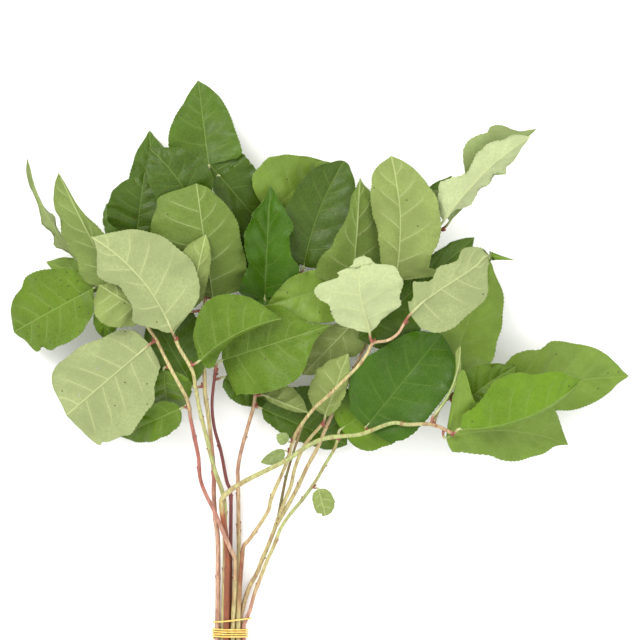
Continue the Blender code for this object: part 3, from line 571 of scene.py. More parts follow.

# Leaves 02, 03, 05 and 21 take the shaded colour, which is painted shade
LOOKS = {
    "leaf_01": Look(
        "dark",
        left=((2, 12), (8, 22), (18, 27), (31, 28), (45, 26), (57.5, 22), (78, 12), (94, 4)),
        right=((2, 18), (6, 25), (13, 26), (30, 24), (48.5, 21.5), (72, 16.5), (88.7, 8.5))),
    "leaf_02": Look(
        "shaded", start=-0.25, end=1.9,
        left=((-20, 10), (-15, 17), (-7, 23), (10, 24), (26, 24), (55, 22), (80, 20), (120, 17),
              (160, 12), (180, 6)),
        right=((-10, 7), (13, 11), (34, 14), (56, 15), (80, 18), (100, 25), (120, 31), (145, 34),
               (165, 28), (182, 14))),
    "leaf_03": Look("shaded"),
    "leaf_04": Look("dark"),
    "leaf_05": Look("shaded"),
    "leaf_06": Look("dark", veins=4),
    "leaf_08": Look(
        "pale_under", "soft", 6, ripple=1.6,
        left=((10, 3), (25, 2), (33, 6), (44, 2), (50, 5), (60, 3), (71, 1.5), (85, 3.3), (95, 2)),
        right=((10, 2), (26, 2), (37, 3), (48, 3.5), (54, 5), (60, 2.5), (70, 1.5), (85, 1), (95, 0.8))),
    "leaf_09": Look(
        "mid", "olive", 6, ripple=1.4,
        left=((5, 8), (10, 13), (16, 19), (26, 20), (36, 17), (47, 17), (58, 18), (67, 14), (76, 14),
              (90, 9), (95, 5)),
        right=((10, 10), (30, 13), (41, 11), (53, 8), (61, 5), (72, 2.5), (88, 1.5))),
    "leaf_10": Look(
        "mid", "pale", 5,
        left=((3, 13), (10, 20), (22, 27), (29, 34), (43, 37), (56, 40), (65, 42), (76, 38), (90, 33),
              (97, 26)),
        right=((1, 11), (4, 16), (16, 24), (30, 27), (48, 32), (67, 33), (79, 33), (89, 28), (95, 19)),
        notches=(Notch(-1, 0.86, 0.02, 0.12),),
        holes=(Hole(0.42, -0.35, 0.8), Hole(0.6, 0.3, 0.6), Hole(0.75, -0.2, 0.7))),
    "leaf_11": Look(
        "mid", "pale", 5, ripple=1.2, lobe=0.1,
        left=((3, 5), (11, 11), (18, 18), (28, 24), (34, 19), (45, 17), (54, 16), (66, 21), (75, 21),
              (81, 15), (90, 6)),
        right=((1, 8), (3, 18), (6, 27), (11, 32), (22, 36), (31, 38), (50, 35), (64, 33), (74, 28),
               (84, 22), (91, 13))),
    "leaf_12": Look(
        "spotted", "soft", 5,
        left=((9, 14), (23, 21), (33, 25), (47, 27), (62, 26), (75, 24), (78, 20), (82, 22), (90, 18),
              (93, 10), (97, 5)),
        right=((2, 5), (6, 12), (10, 19), (23, 25), (38, 30), (52, 32), (61, 31), (69, 26), (80, 23),
               (91, 16), (97, 8))),
    "leaf_13": Look(
        "mid", "soft", 4, end=1.1,
        left=((4, 6.6), (21, 15.7), (42, 21), (69, 23), (91, 19), (103, 11.5)),
        right=((10, 8), (30, 14), (60, 15), (85, 9))),
    "leaf_14": Look("olive", "soft", 4),
    "leaf_15": Look("bright", "soft", 4),
    "leaf_16": Look(
        "mid", "green", 5, ripple=1.2,
        left=((5, 12), (15, 22), (35, 33), (65, 38.5), (83.7, 32), (97, 18)),
        right=((2, 18), (12, 25), (29.5, 28.5), (42, 27), (64.6, 25.7), (81, 18.5), (90, 12), (96, 7))),
    "leaf_17": Look(
        "mid", "soft", 4,
        left=((10, 8), (30, 13), (60, 15), (80, 12), (93, 5)),
        right=((10, 6), (40, 9), (70, 8), (90, 4))),
    "leaf_19": Look(
        "deep", "soft", 5, ripple=1.5, start=-0.06,
        left=((-5, 7), (-2, 12), (2, 17), (6, 19.5), (14, 18), (26, 14), (37, 15), (50, 17), (65, 14),
              (75, 11), (85, 5), (92, 2)),
        right=((-5, 8), (-2, 14), (2, 20), (7, 24), (18, 26), (30, 24), (42, 17), (56, 17), (65, 19),
               (76, 14), (83, 9), (94, 4))),
    "leaf_20": Look("olive", "soft", 5),
    "leaf_21": Look("shaded", "soft", 5, 0.3),
    "leaf_22": Look(
        "mid", "green", 5,
        left=((4, 10), (11, 18), (15, 27), (23, 28), (33, 25), (41, 18), (49, 16), (61, 10), (73, 6.5),
              (85, 5.5), (92, 2.5)),
        right=((8, 14), (24, 21), (43, 22), (63, 19), (76, 13), (90, 8), (95, 3))),
    "leaf_23": Look(
        "mid", "soft", 5,
        left=((3, 6), (10, 11), (24, 15), (39, 17), (50, 19), (62, 21), (75, 20), (86, 17), (94, 10)),
        right=((1, 17), (10, 23), (19, 24), (28, 28), (41, 30), (54, 29), (65, 28), (75, 23), (87, 16),
               (96, 7))),
    "leaf_24": Look(
        "bright", "white", 5, ripple=1.5,
        left=((1, 4), (5, 10), (13, 16), (20, 19), (29, 16), (39, 10), (51, 12), (59, 14), (70, 14),
              (83, 10), (94, 6)),
        right=((5, 1.5), (14, 3), (19, 6.6), (31, 8.8), (41, 6.2), (52, 8.6), (55, 6), (65, 11),
               (68, 8.6), (74, 8.6), (84, 5.6), (95, 2))),
    "leaf_24_back": Look(
        "hoary", "soft", 5,
        left=((1, 8), (17, 14), (35, 13), (43, 22), (48, 26), (64, 25), (70, 22), (75, 23), (83, 18),
              (87, 9), (95, 3)),
        right=((10, 2), (50, 3), (90, 1))),
    "leaf_25": Look("dark", veins=4),
    "leaf_26": Look(
        "mid", "white", 4, ripple=1.4, sink=1.2, end=1.13,
        lean=((80, 0), (100, -4), (113, -6.5)),
        left=((3, 5), (8, 10), (18, 19.5), (38, 25.5), (51, 26), (64, 33), (80, 33), (85, 27), (88, 17),
              (95, 15), (100, 7), (106, 3), (111, 0)),
        right=((5, 5), (15, 10), (24, 20), (30, 26), (45, 27), (60, 31.5), (76, 30), (88, 27), (93.5, 23),
               (97, 15), (103, 12), (109, 10.5))),
    "leaf_27": Look(
        "bright", "pale", 5, ripple=0.8, sink=1.2, twist=(0.81, 0.04),
        lean=((55, 0), (70, 3), (77.5, 6.5), (83, 7), (87, 5.4), (94, 2.3), (100, 0)),
        left=((1, 7), (5, 6.5), (10, 10), (13, 16), (20, 13), (29, 9), (39, 14), (50, 12), (57, 12),
              (63.4, 17.2), (77.9, 15.7), (86.8, 8.6), (94, 3.6)),
        right=((1, 8), (6, 18), (16, 27), (26, 30), (39, 29), (51, 27), (60, 25), (67.6, 19), (73.5, 8),
               (77.5, 1), (82, -2.6), (88, -2.4), (94, -1))),
    "leaf_28": Look(
        "dark", start=-0.58,
        left=((-50, 5), (-30, 10), (0, 13), (30, 12), (60, 11), (85, 7), (93, 4)),
        right=((-52, 13), (-45, 20), (-30, 24), (-5, 26), (10, 22), (30, 15), (60, 13), (85, 8), (93, 4))),
    "leaf_29": Look("olive", "soft", 5),
    "leaf_30": Look(
        "olive", "soft", 6, ripple=1.2,
        left=((4, 10), (9, 15), (18, 23), (28, 25), (36, 25), (43, 30), (50, 30), (63, 27), (74, 24),
              (85, 17), (92, 9), (96, 4)),
        right=((3, 9), (19, 19), (45, 22), (60, 22), (75, 17), (85, 11), (92, 5), (96, 2.5))),
    "leaf_31": Look(
        "bright", "soft", 6,
        left=((4, 9), (15, 16), (27, 25), (37, 33), (47, 34), (56, 33), (67, 26), (77, 22), (87, 16),
              (92, 9)),
        right=((18, 2.2), (50, 2), (80, 1.5))),
    "leaf_32": Look(
        "olive", "soft", 5,
        left=((1, 13), (23, 22), (48, 31), (70, 31), (82, 28), (89, 19), (95, 8)),
        right=((3, 8), (14, 14), (25, 17), (37, 19), (45, 22), (60, 22), (71, 17), (80, 13), (89, 5))),
    "leaf_33": Look("mid", "soft", 5),
    "leaf_34": Look(
        "mid", "soft", 5, ripple=0.4,
        left=((12, 1), (30, 0.8), (50, 1), (67, 1.5), (82, 3), (90, 3.5)),
        right=((9, 1.2), (38, 1.5), (60, 3.2), (75, 2.2), (85, 1), (94, 0.6))),
    "leaf_35": Look(
        "deep", "soft", 5,
        left=((1, 11), (6, 19), (15, 28), (27, 34), (42, 34), (54, 30), (69, 25), (81, 21), (89, 16),
              (95, 8)),
        right=((1, 14), (5, 22), (19, 30), (30, 31), (60, 31), (72, 30), (84, 25), (93, 17), (97, 9))),
    "leaf_36": Look("bright", "soft", 5, holes=(Hole(0.5, -0.55, 0.7),)),
    "leaf_38": Look(
        "mid", "soft", 5,
        left=((3, 8), (13, 14), (27, 25), (44, 30), (55, 28), (64, 26), (72, 17), (77, 10), (88, 4)),
        right=((1, 22), (4, 26), (16, 31), (28, 33), (44, 33), (58, 30), (66, 25), (72, 18), (80, 9),
               (90, 3.5))),
    "leaf_39": Look(
        "mid", "soft", 5,
        left=((2, 8), (6, 17), (13, 22), (21, 27), (32, 31), (47, 32), (59, 30), (73, 25), (81, 21),
              (87, 15), (94, 7)),
        right=((2, 7), (8, 11), (16, 9), (25, 5.5), (37, 3), (55, 2), (80, 1.5))),
    "leaf_40": Look(
        "olive", "soft", 4,
        left=((2, 16), (10, 23), (30, 24), (55, 20), (80, 12), (93, 5)),
        right=((2, 10), (15, 15), (40, 16.5), (60, 15), (80, 9), (93, 4))),
    "leaf_41": Look(
        "mid", "soft", 4, start=-0.25,
        left=((-20, 8), (-10, 15), (4, 19), (20, 18.5), (35, 14), (60, 12), (85, 7)),
        right=((-15, 5), (5, 9), (20, 15), (50, 17), (80, 12), (93, 6))),
    "leaf_43": Look("mid", "soft", 4, ripple=1.2),
    "leaf_44": Look("mid", "soft", 4),
    "leaf_45": Look("dark", veins=4),
    "leaf_46": Look(
        "dark", veins=4, end=1.25,
        left=((4, 10), (15, 18), (35, 27), (60, 32), (80, 31), (100, 25), (115, 14)),
        right=((5, 5), (20, 9), (50, 12), (80, 11), (105, 9), (118, 4))),
    "leaf_48": Look(
        "dark", veins=4, end=1.25,
        left=((5, 8), (20, 16), (50, 19), (90, 16), (115, 6)),
        right=((5, 8), (20, 17), (50, 24), (80, 28), (100, 26), (115, 15))),
    "leaf_49": Look(
        "mid", "soft", 4,
        left=((5, 9), (20, 17), (50, 20), (80, 14), (94, 6)),
        right=((5, 9), (20, 16), (50, 19), (80, 14), (94, 6))),
    "leaf_50": Look("mid", "pale", 4, folds=(Fold(-1, 0.45, 0.35, 0.7),)),
    "small_leaf_1": Look("mid", "soft", 3, 0.0, notches=(Notch(-1, 0.72, 0.16, 0.75),)),
    "small_leaf_2": Look("hoary", "soft", 3),
    "small_leaf_3": Look("hoary", "soft", 3),
}

# The share of a leaf's speck cells that hold a dry speck, by the colour of its upper face
SPECKS = {"plain": 0.05, "spotted": 0.5, "shaded": 0.2}

# How far the veins stand out from the leaf, against 1 on a plain one, by the colour of the face: first for
# upper faces, and then for undersides
VEIN_SHARES = {"deep": 0.4, "shaded": 0.45, "dark": 0.6, "bright": 0.8}
RIB_SHARES = {"soft": 0.7, "green": 0.55, "olive": 0.65}

# The numbers of the leaves that have the record's slot for dark leaves
DARK_LEAVES = "02 03 05 06 21 25 28 35 45 46 48 50".split()

# Bark colours along each stem: (share of the length, colour), from the cut end to the tip
BARKS = {
    "stem_a": ((0.0, "tan"), (0.3, "straw"), (0.42, "blush"), (0.55, "rose"), (0.66, "rose"),
               (0.74, "straw"), (0.9, "straw"), (1.0, "blush")),
    "stem_b": ((0.0, "straw"), (0.4, "straw"), (0.7, "lime"), (1.0, "straw")),
    "stem_c": ((0.0, "tan"), (0.1, "blush"), (0.4, "blush"), (0.5, "rose"), (0.6, "straw"),
               (0.8, "tan"), (1.0, "rose")),
    "stem_d": ((0.0, "rust"), (0.3, "rust"), (0.55, "wine"), (1.0, "wine")),
    "stem_e": ((0.0, "straw"), (0.4, "straw"), (0.56, "blush"), (0.75, "tan"), (1.0, "rose")),
    "stem_f": ((0.0, "rust"), (0.44, "rust"), (0.475, "ginger"), (0.51, "straw"), (0.65, "lime"),
               (0.9, "lime"), (1.0, "tan")),
    "stem_g": ((0.0, "straw"), (0.25, "straw"), (0.36, "rust"), (0.42, "tan"), (0.52, "straw"),
               (0.88, "straw"), (1.0, "blush")),
    "stem_h": ((0.0, "rust"), (0.3, "rust"), (0.42, "tan"), (0.6, "straw"), (1.0, "straw")),
    "stem_h_thin": ((0.0, "bark_olive"), (1.0, "bark_olive")),
    "stem_h_long": ((0.0, "straw"), (0.55, "straw"), (0.7, "tan"), (1.0, "blush")),
    "stem_k": ((0.0, "rust"), (0.28, "rose"), (0.46, "blush"), (0.54, "straw"), (0.72, "lime"),
               (1.0, "lime")),
}
SAME_BARK = {
    "stem_c_twig": "stem_c",
    "stem_e_twig": "stem_e",
    "stem_f_twig": "stem_f",
    "stem_h_side": "stem_h_long",
}
# The fine mesh of a leaf: its rows follow the side veins. Lengths in millimetres, the rest shares and counts
ROWS_PER_VEIN = 14
END_ROWS = (0.004, 0.014, 0.03, 0.047)
FIRST_VEIN = 0.06
LAST_VEIN = 0.93
COLUMN_STEP = 2.2
FEWEST_COLUMNS = 6
VEIN_FORWARD = 1.0
VEIN_BEND = 0.4
VEIN_SLANT = 0.8
VEIN_FADE = 1.1
VEIN_FADE_FROM = 0.45
VEIN_FADE_SPAN = 0.5
VEIN_WOBBLE = 0.012
VEIN_WOBBLES = 2.3
VEIN_RAISED = 0.24
FAR_FROM_VEINS = 9.0
RIB_REACH = 0.8
RIB_TAPER = 0.75
GROOVE_REACH = 1.3
EDGE_TIGHT = 0.85
LEAST_HALF_WIDTH = 0.05
LOBE_FADE = 6
LOBE_SHAPE = 1.5
EDGE_WAVES = ((0.03, 1.6), (0.018, 4.3))
TIP_START = 0.78
TIP_SPAN = 0.17
TEETH_FADE = 4
FOLD_TURN = 0.92 * math.pi
FOLD_SOFTNESS = 0.22
RIB_FINE = 1.3
END_REACH = 0.5

# The relief of a leaf: each kind flattens out where the half-width is less than its own, in millimetres
RIPPLE_COUNT = 5.5
RIPPLE_SHIFT = 2.1
RIPPLE_OVERTONE = (0.5, 1.83, 1.0)
BUCKLES = ((0.5, 1.3, 0.7), (0.35, 2.7, -1.1), (0.25, 0.6, 2.3))
QUILT_SHAPE = 0.7
FULL_RIPPLE_WIDTH = 8
FULL_QUILT_WIDTH = 12
FULL_GROOVE_WIDTH = 6
FULL_BUCKLE_WIDTH = 14

# Stalks: they run from inside the stem to shares of the blade's length, as (share of the way, thickness)
STALK_STEPS = 9
STALK_RUN = (0.015, 0.05, 0.09, 0.14, 0.2)
HIDDEN_RUN = 0.3
STALK_SINK = 0.35
STALK_CLEAR = 0.9
STALK_ROOT = 0.6
STALK_SHAPE = ((0.0, 1.25), (0.12, 0.95), (0.5, 0.85), (0.72, 0.8), (0.85, 0.5), (1.0, 0.2))
CLEAR_OF_FLOOR = 0.4
SHARP_ANGLE = math.radians(50)

# Stems and buds
NODE_REACH = 1.9
STEM_SLIMMING = 0.14
CUT_TRIM = 0.4
TWIG_SHARE = 0.5
NODE_RISE = 0.5
NUDGE_UP = np.array([0.0, 0.0, 1e-3])
PORE_SIZES = (0.6, 1.3)
PORE_LENGTH = 1.9
BUD_BACK = 0.8
BUD_LEAN = 0.6
BUD_SUNK = 0.8
BUD_FORWARD = 0.9
BUD_TURN = (0.55, 0.85)
BUD_SCALE = {"leaf": 1.0, "bare": 0.62, "end": 1.5}
BUD_SIDES = 8
BUD_PROFILE = ((0.0, 0.16), (0.15, 0.27), (0.35, 0.31), (0.6, 0.24), (0.82, 0.12), (1.0, 0.0))

# The fewest sides that a round section can be given
FEWEST_SIDES = 6

# The stage, in metres and watts
FLOOR_SIZE = 6.0
SKY_STRENGTH = 1.45
CAMERA_Y = 0.075
CAMERA_HEIGHT = 3.045
CAMERA_LENS = 228.0
LIGHTS = (
    ("key", (-1.1, 1.3, 1.9), (0.0, 0.0, 0.0), 1.2, 38.0, (1.0, 0.99, 0.96)),
    ("fill", (1.4, -0.6, 1.7), (0.0, 0.0, 0.0), 1.6, 10.0, (0.96, 0.98, 1.0)),
)

# Nodes on bare lengths of stem, as places that the stem passes
BARE_NODES = {
    "stem_a": ((-64, -120), (-70, -88), (-90, -36), (-92, -12)),
    "stem_b": ((-71, -112), (-71, -70), (-82, -22), (-88, 2)),
    "stem_c": ((-77, -118), (-78, -74), (-80, -40), (-85, 14)),
    "stem_d": ((-67, -112), (-67, -58), (-75, -20)),
    "stem_e": ((-61, -110), (-61, -84), (-61, -81), (-60, -78), (-61, -56), (-57, -14)),
    "stem_f": ((-69, -112), (-73.5, -60), (-25, -29), (7, -12), (60, -2)),
    "stem_g": ((-58, -100), (-55.5, -80), (-37, -58), (-18, -10), (8, 21), (30, 43)),
    "stem_h": ((-58, -140), (-43, -104), (-28, -65), (-10, -17)),
    "stem_h_thin": ((-26, -43), (-17, -15)),
    "stem_h_long": ((-16, -48), (4, -5), (25, 38), (44, 76)),
    "stem_k": ((-47, -124), (-33, -90), (-13, -59), (3, -34)),
}


def srgb(red, green, blue):
    """A colour given in screen values from 0 to 255, as the linear values that shaders use."""
    c = np.array([red, green, blue]) / 255
    return tuple(float(x) for x in np.where(c <= 0.04045, c / 12.92, ((c + 0.055) / 1.055)**2.4))


def length_setting(name, description, millimetres):
    """A length that the user can change, shown in the scene's units."""
    return FloatProperty(name=name, description=description, default=millimetres * MM, min=0.0,
                         unit="LENGTH", precision=5)


def sides_setting(name, description, sides):
    """A number of sides that the user can change."""
    return IntProperty(name=name, description=description, default=sides, min=FEWEST_SIDES)


def colour_setting(name, description, *screen_colour):
    """A colour that the user can change."""
    return FloatVectorProperty(name=name, description=description, default=srgb(*screen_colour), size=3,
                               subtype="COLOR", min=0.0, max=1.0)


class SalalSizes(bpy.types.PropertyGroup):
    """Sizes of the fine surface."""

    blade: length_setting("Blade", "Thickness of a leaf between its veins", 0.34)
    rib: length_setting("Midrib", "How far the midrib stands out under the leaf", 0.75)
    groove: length_setting("Groove", "How deep the midrib lies in the upper face", 0.35)
    quilt: length_setting("Quilting", "How far the leaf puffs up between its side veins", 0.7)
    tooth: length_setting("Tooth", "Depth of the fine teeth along a leaf's edge", 0.55)
    ripple: length_setting("Ripple", "Height of the small waves along a leaf's edge", 0.55)
    buckle: length_setting("Buckle", "Height of the broad bends in a leaf's surface", 0.9)
    swelling: FloatProperty(name="Swelling", description="How much thicker a stem is at a node", default=0.14,
                            min=0.0, max=1.0)
    stem_sides: sides_setting("Stem sides", "Sides of a stem's section", 16)
    stalk_sides: sides_setting("Stalk sides", "Sides of a leaf stalk's section", 10)
    band_sides: sides_setting("Band sides", "Sides of a rubber band's section", 10)
    pore: length_setting("Pore", "Size of the small pores in the bark", 0.16)
    pore_density: FloatProperty(name="Pores", description="Most pores on a square metre of bark",
                                default=30000.0, min=0.0)
    bud: length_setting("Bud", "Length of the bud beside a leaf stalk", 2.9)


class SalalColours(bpy.types.PropertyGroup):
    """Colours of the leaves, stems and bands."""

    bright: colour_setting("Bright leaf", "Upper face of a young leaf", 85, 116, 12)
    mid: colour_setting("Leaf", "Upper face of most leaves", 77, 104, 16)
    dark: colour_setting("Dark leaf", "Upper face of an old leaf", 63, 89, 12)
    # The shaded leaf colour is a darker copy of the leaf green: painted shade for leaves that lie in shadow
    # in the pile
    shaded: colour_setting("Shaded leaf", "Upper face of the oldest leaves", 55, 78, 10)
    spotted: colour_setting("Spotted leaf", "Upper face of a leaf with many specks", 81, 107, 18)
    deep: colour_setting("Deep leaf", "Upper face of the deepest green leaves", 52, 87, 2)
    olive: colour_setting("Olive leaf", "Upper face of a sunned leaf", 101, 126, 42)
    hoary: colour_setting("Hoary leaf", "Upper face of a small young leaf", 130, 144, 90)
    white_under: colour_setting("White underside", "Underside of the palest leaves", 160, 171, 124)
    pale_under: colour_setting("Pale underside", "Underside of a pale leaf", 137, 148, 98)
    soft_under: colour_setting("Green underside", "Underside of most leaves", 122, 137, 72)
    green_under: colour_setting("Dark underside", "Underside of a darker leaf", 92, 112, 43)
    olive_under: colour_setting("Olive underside", "Underside of a leaf that turns olive", 108, 125, 60)
    vein: colour_setting("Vein", "Veins of the upper face", 116, 136, 64)
    rib: colour_setting("Pale vein", "Veins of the underside", 168, 178, 122)
    speck: colour_setting("Speck", "Small dry specks on a leaf", 62, 50, 28)
    rose: colour_setting("Rose bark", "Pink-red young bark", 162, 94, 82)
    blush: colour_setting("Blush bark", "Pale pink bark", 186, 146, 120)
    wine: colour_setting("Wine bark", "Dark red bark", 118, 56, 54)
    rust: colour_setting("Rust bark", "Orange-brown bark", 134, 70, 36)
    ginger: colour_setting("Ginger bark", "Orange bark at a node", 162, 84, 44)
    tan: colour_setting("Tan bark", "Light brown bark", 184, 158, 116)
    straw: colour_setting("Straw bark", "Yellow-green old bark", 184, 172, 116)
    lime: colour_setting("Lime bark", "Green young bark", 160, 168, 102)
    bark_olive: colour_setting("Olive bark", "Dull green bark", 124, 120, 66)
    pith: colour_setting("Cut end", "The cut end of a stem", 206, 192, 142)
    joint: colour_setting("Node", "Darker bark at the nodes", 122, 62, 42)
    stalk: colour_setting("Stalk", "Red of a leaf stalk near its stem", 138, 74, 60)
    bud: colour_setting("Bud", "Scales of a bud", 120, 58, 38)
    band: colour_setting("Band", "Rubber of the bands", 232, 190, 84)
    floor: colour_setting("Floor", "The surface that the bunch lies on", 250, 250, 249)


def feed(tree, socket, value):
    """Links another node's output to a socket, or sets the socket's own value."""
    if isinstance(value, bpy.types.NodeSocket):
        tree.links.new(value, socket)
    elif socket.type == "RGBA":
        socket.default_value = (*value[:3], 1.0)
    else:
        socket.default_value = value


def add(tree, kind, inputs, **settings):
    """Adds a node and feeds its inputs with values or other nodes' outputs."""
    made = tree.nodes.new(kind)
    for key, value in settings.items():
        setattr(made, key, value)
    for key, value in inputs.items():
        feed(tree, made.inputs[key], value)
    return made


class Finish:
    """A material being made, with short ways to add its nodes."""

    def __init__(self, name, roughness):
        self.made = bpy.data.materials.new(name)
        self.made.use_nodes = True
        self.tree = self.made.node_tree
        self.shader = self.tree.nodes["Principled BSDF"]
        self.shader.inputs["Roughness"].default_value = roughness
        self.place = self.tree.nodes.new("ShaderNodeTexCoord").outputs["Object"]

    def node(self, kind, inputs, **settings):
        """Adds a node to the material."""
        return add(self.tree, kind, inputs, **settings)

    def give(self, name, value):
        """Feeds one of the shader's inputs."""
        feed(self.tree, self.shader.inputs[name], value)

    def attribute(self, name):
        """A number that the mesh holds at each point."""
        return self.node("ShaderNodeAttribute", {}, attribute_name=name).outputs["Fac"]

    def noise(self, size, detail=2.0, stretch=(1.0, 1.0, 1.0)):
        """Soft noise whose patches are about `size` metres across."""
        place = self.place
        if stretch != (1.0, 1.0, 1.0):
            place = self.node("ShaderNodeMapping", {"Vector": self.place, "Scale": stretch}).outputs["Vector"]
        made = self.node("ShaderNodeTexNoise", {"Vector": place, "Scale": 1 / size, "Detail": detail})
        return made.outputs["Fac"]

    def cells(self, size, feature, dimensions="3D"):
        """A cell pattern whose cells are about `size` metres across."""
        return self.node("ShaderNodeTexVoronoi", {"Vector": self.place, "Scale": 1 / size}, feature=feature,
                         voronoi_dimensions=dimensions)

    def maths(self, operation, *values):
        """The result of a sum, product or comparison."""
        return self.node("ShaderNodeMath", dict(enumerate(values)), operation=operation).outputs["Value"]

    def times(self, value, factor):
        """A value times a factor."""
        return self.maths("MULTIPLY", value, factor)

    def span(self, value, low, high, low_to=0.0, high_to=1.0):
        """Maps low..high smoothly to low_to..high_to."""
        return self.node("ShaderNodeMapRange", {"Value": value, "From Min": low, "From Max": high,
                                                "To Min": low_to, "To Max": high_to},
                         interpolation_type="SMOOTHSTEP").outputs["Result"]

    def mix(self, share, first, second, blend="MIX"):
        """The first colour with a share of the second."""
        made = self.node("ShaderNodeMix", {0: share, 6: first, 7: second}, data_type="RGBA", blend_type=blend)
        return made.outputs[2]

    def bump(self, height, depth, strength):
        """Turns a height from 0 to 1 into a bump of that depth in metres."""
        made = self.node("ShaderNodeBump", {"Height": height, "Distance": depth, "Strength": strength})
        self.give("Normal", made.outputs["Normal"])


def scaled(colour, factor):
    """A lighter or darker colour."""
    return tuple(min(1.0, c * factor) for c in colour[:3])


def shifted(colour, other, share):
    """A colour part of the way to another."""
    return tuple(a + (b - a) * share for a, b in zip(colour[:3], other[:3]))


# Lines on a leaf: the attribute that each follows, and at what distance it is full and gone, in millimetres
LINES = {
    "halo": ("vein_mm", 0.2, 2.6),
    "side": ("vein_mm", 0.1, 0.6),
    "edge": ("edge_mm", 0.15, 0.75),
    "midrib": ("rib_mm", 0.12, 0.62),
}

# Patterns on a leaf: sizes in millimetres, and the stretch of the pattern's values that is used
BROAD_SPAN = (0.36, 0.64)
GRAIN_SPAN = (0.3, 0.7)
# Sheen patches: lighter, greyer patches over a leaf's upper face, a painted sheen
PAINTED_SHEEN_SIZE = 11
PAINTED_SHEEN_SPAN = (0.4, 0.7)
NET_SIZE = 2.6
NET_SPAN = (0.02, 0.16)
SPECK_SIZE = 8
SPECK_SPAN = (0.05, 0.1)
SPECK_STRENGTH = 0.85
LEAF_BUMP = 0.22

# The two faces of a leaf. Broad is the size of the patches that take its colour between two shades, and grain
# that of its fine mottling. Each layer is a mask, how strongly it shows, the shade of the leaf's colour in it
# and the share of the vein's colour. Relief is how far the grain, the net and the side veins stand out.
Face = namedtuple("Face", "roughness gloss shine broad shades grain layers relief strength")
UPPER_FACE = Face(
    roughness=0.4, gloss=(0.28, 0.4), shine=0.18, broad=34, shades=(0.84, 1.14), grain=3.2,
    layers=(
        # The patches layer is painted sheen: lighter, greyer patches towards the vein's colour
        ("patches", 0.4, 1.0, 0.28),
        ("grain", 0.36, 0.76, 0.0),
        ("halo", 0.16, 1.0, 0.4),
        ("net", 0.24, 1.0, 0.6),
        ("side", 0.34, 1.0, 1.0),
        ("edge", 0.3, 1.0, 0.8),
        ("midrib", 0.75, 1.0, 1.0),
    ),
    relief={"grain": 0.35, "net": -0.35, "side": -0.8}, strength=0.8,
)
UNDER_FACE = Face(
    roughness=0.62, gloss=(0.55, 0.7), shine=0.22, broad=26, shades=(0.9, 1.1), grain=2.2,
    layers=(
        ("grain", 0.5, 0.8, 0.0),
        ("halo", 0.15, 1.0, 0.5),
        ("net", 0.35, 0.8, 0.0),
        ("side", 0.48, 1.0, 1.0),
        ("edge", 0.3, 0.75, 0.0),
        ("midrib", 0.8, 1.0, 1.0),
    ),
    relief={"grain": 0.3, "net": 0.4, "side": 0.9}, strength=0.7,
)


def face_mask(finish, kind, grain):
    """Where one layer of a leaf's face shows, from 0 to 1."""
    if kind in LINES:
        follows, full, gone = LINES[kind]
        return finish.span(finish.attribute(follows), full, gone, low_to=1.0, high_to=0.0)
    if kind == "net":
        cells = finish.cells(NET_SIZE * MM, "DISTANCE_TO_EDGE")
        return finish.span(cells.outputs["Distance"], *NET_SPAN, low_to=1.0, high_to=0.0)
    # Patches, used on the upper face only, are painted sheen
    if kind == "patches":
        return finish.span(finish.noise(PAINTED_SHEEN_SIZE * MM), *PAINTED_SHEEN_SPAN)
    return finish.span(grain, *GRAIN_SPAN)


def speckled(finish, base, speck, amount):
    """Scatters small dry specks over a base colour."""
    cells = finish.cells(SPECK_SIZE * MM, "F1", "2D")
    near = finish.span(cells.outputs["Distance"], *SPECK_SPAN, low_to=SPECK_STRENGTH, high_to=0.0)
    chosen = finish.node("ShaderNodeSeparateColor", {"Color": cells.outputs["Color"]}).outputs["Red"]
    some = finish.maths("GREATER_THAN", chosen, 1.0 - amount)
    return finish.mix(finish.times(near, some), base, speck)


def leaf_finish(name, face, leaf, vein, speck, specked):
    """One face of a leaf: patches of painted sheen, grain, veins and specks, then its gloss and its relief.
    """
    finish = Finish(name, face.roughness)
    grain = finish.noise(face.grain * MM, detail=4.0)
    broad = finish.span(finish.noise(face.broad * MM, detail=3.0), *BROAD_SPAN)
    masks = {kind: face_mask(finish, kind, grain) for kind, *_ in face.layers}
    base = finish.mix(broad, *(scaled(leaf, shade) for shade in face.shades))
    for kind, strength, shade, of_vein in face.layers:
        colour = shifted(scaled(leaf, shade), vein, of_vein)
        base = finish.mix(finish.times(masks[kind], strength), base, colour)
    finish.give("Base Color", speckled(finish, base, speck, specked))
    finish.give("Roughness", finish.span(grain, *GRAIN_SPAN, *face.gloss))
    finish.give("Specular IOR Level", face.shine)
    height = finish.times(grain, face.relief["grain"])
    for kind in ("net", "side"):
        height = finish.maths("ADD", height, finish.times(masks[kind], face.relief[kind]))
    finish.bump(height, LEAF_BUMP * MM, face.strength)
    return finish.made


def stalk_finish(name, red, green):
    """A leaf stalk: red at the stem, and green where it becomes the midrib."""
    finish = Finish(name, roughness=0.45)
    streaks = finish.noise(0.8 * MM, detail=3.0, stretch=(1.0, 0.25, 1.0))
    place = finish.maths("ADD", finish.attribute("share"), finish.times(streaks, factor=0.3))
    base = finish.mix(finish.span(place, low=0.28, high=0.66), red, green)
    base = finish.mix(finish.span(streaks, low=0.35, high=0.7, high_to=0.35), base, scaled(red, factor=0.7))
    finish.give("Base Color", base)
    finish.bump(streaks, depth=0.12 * MM, strength=0.6)
    return finish.made


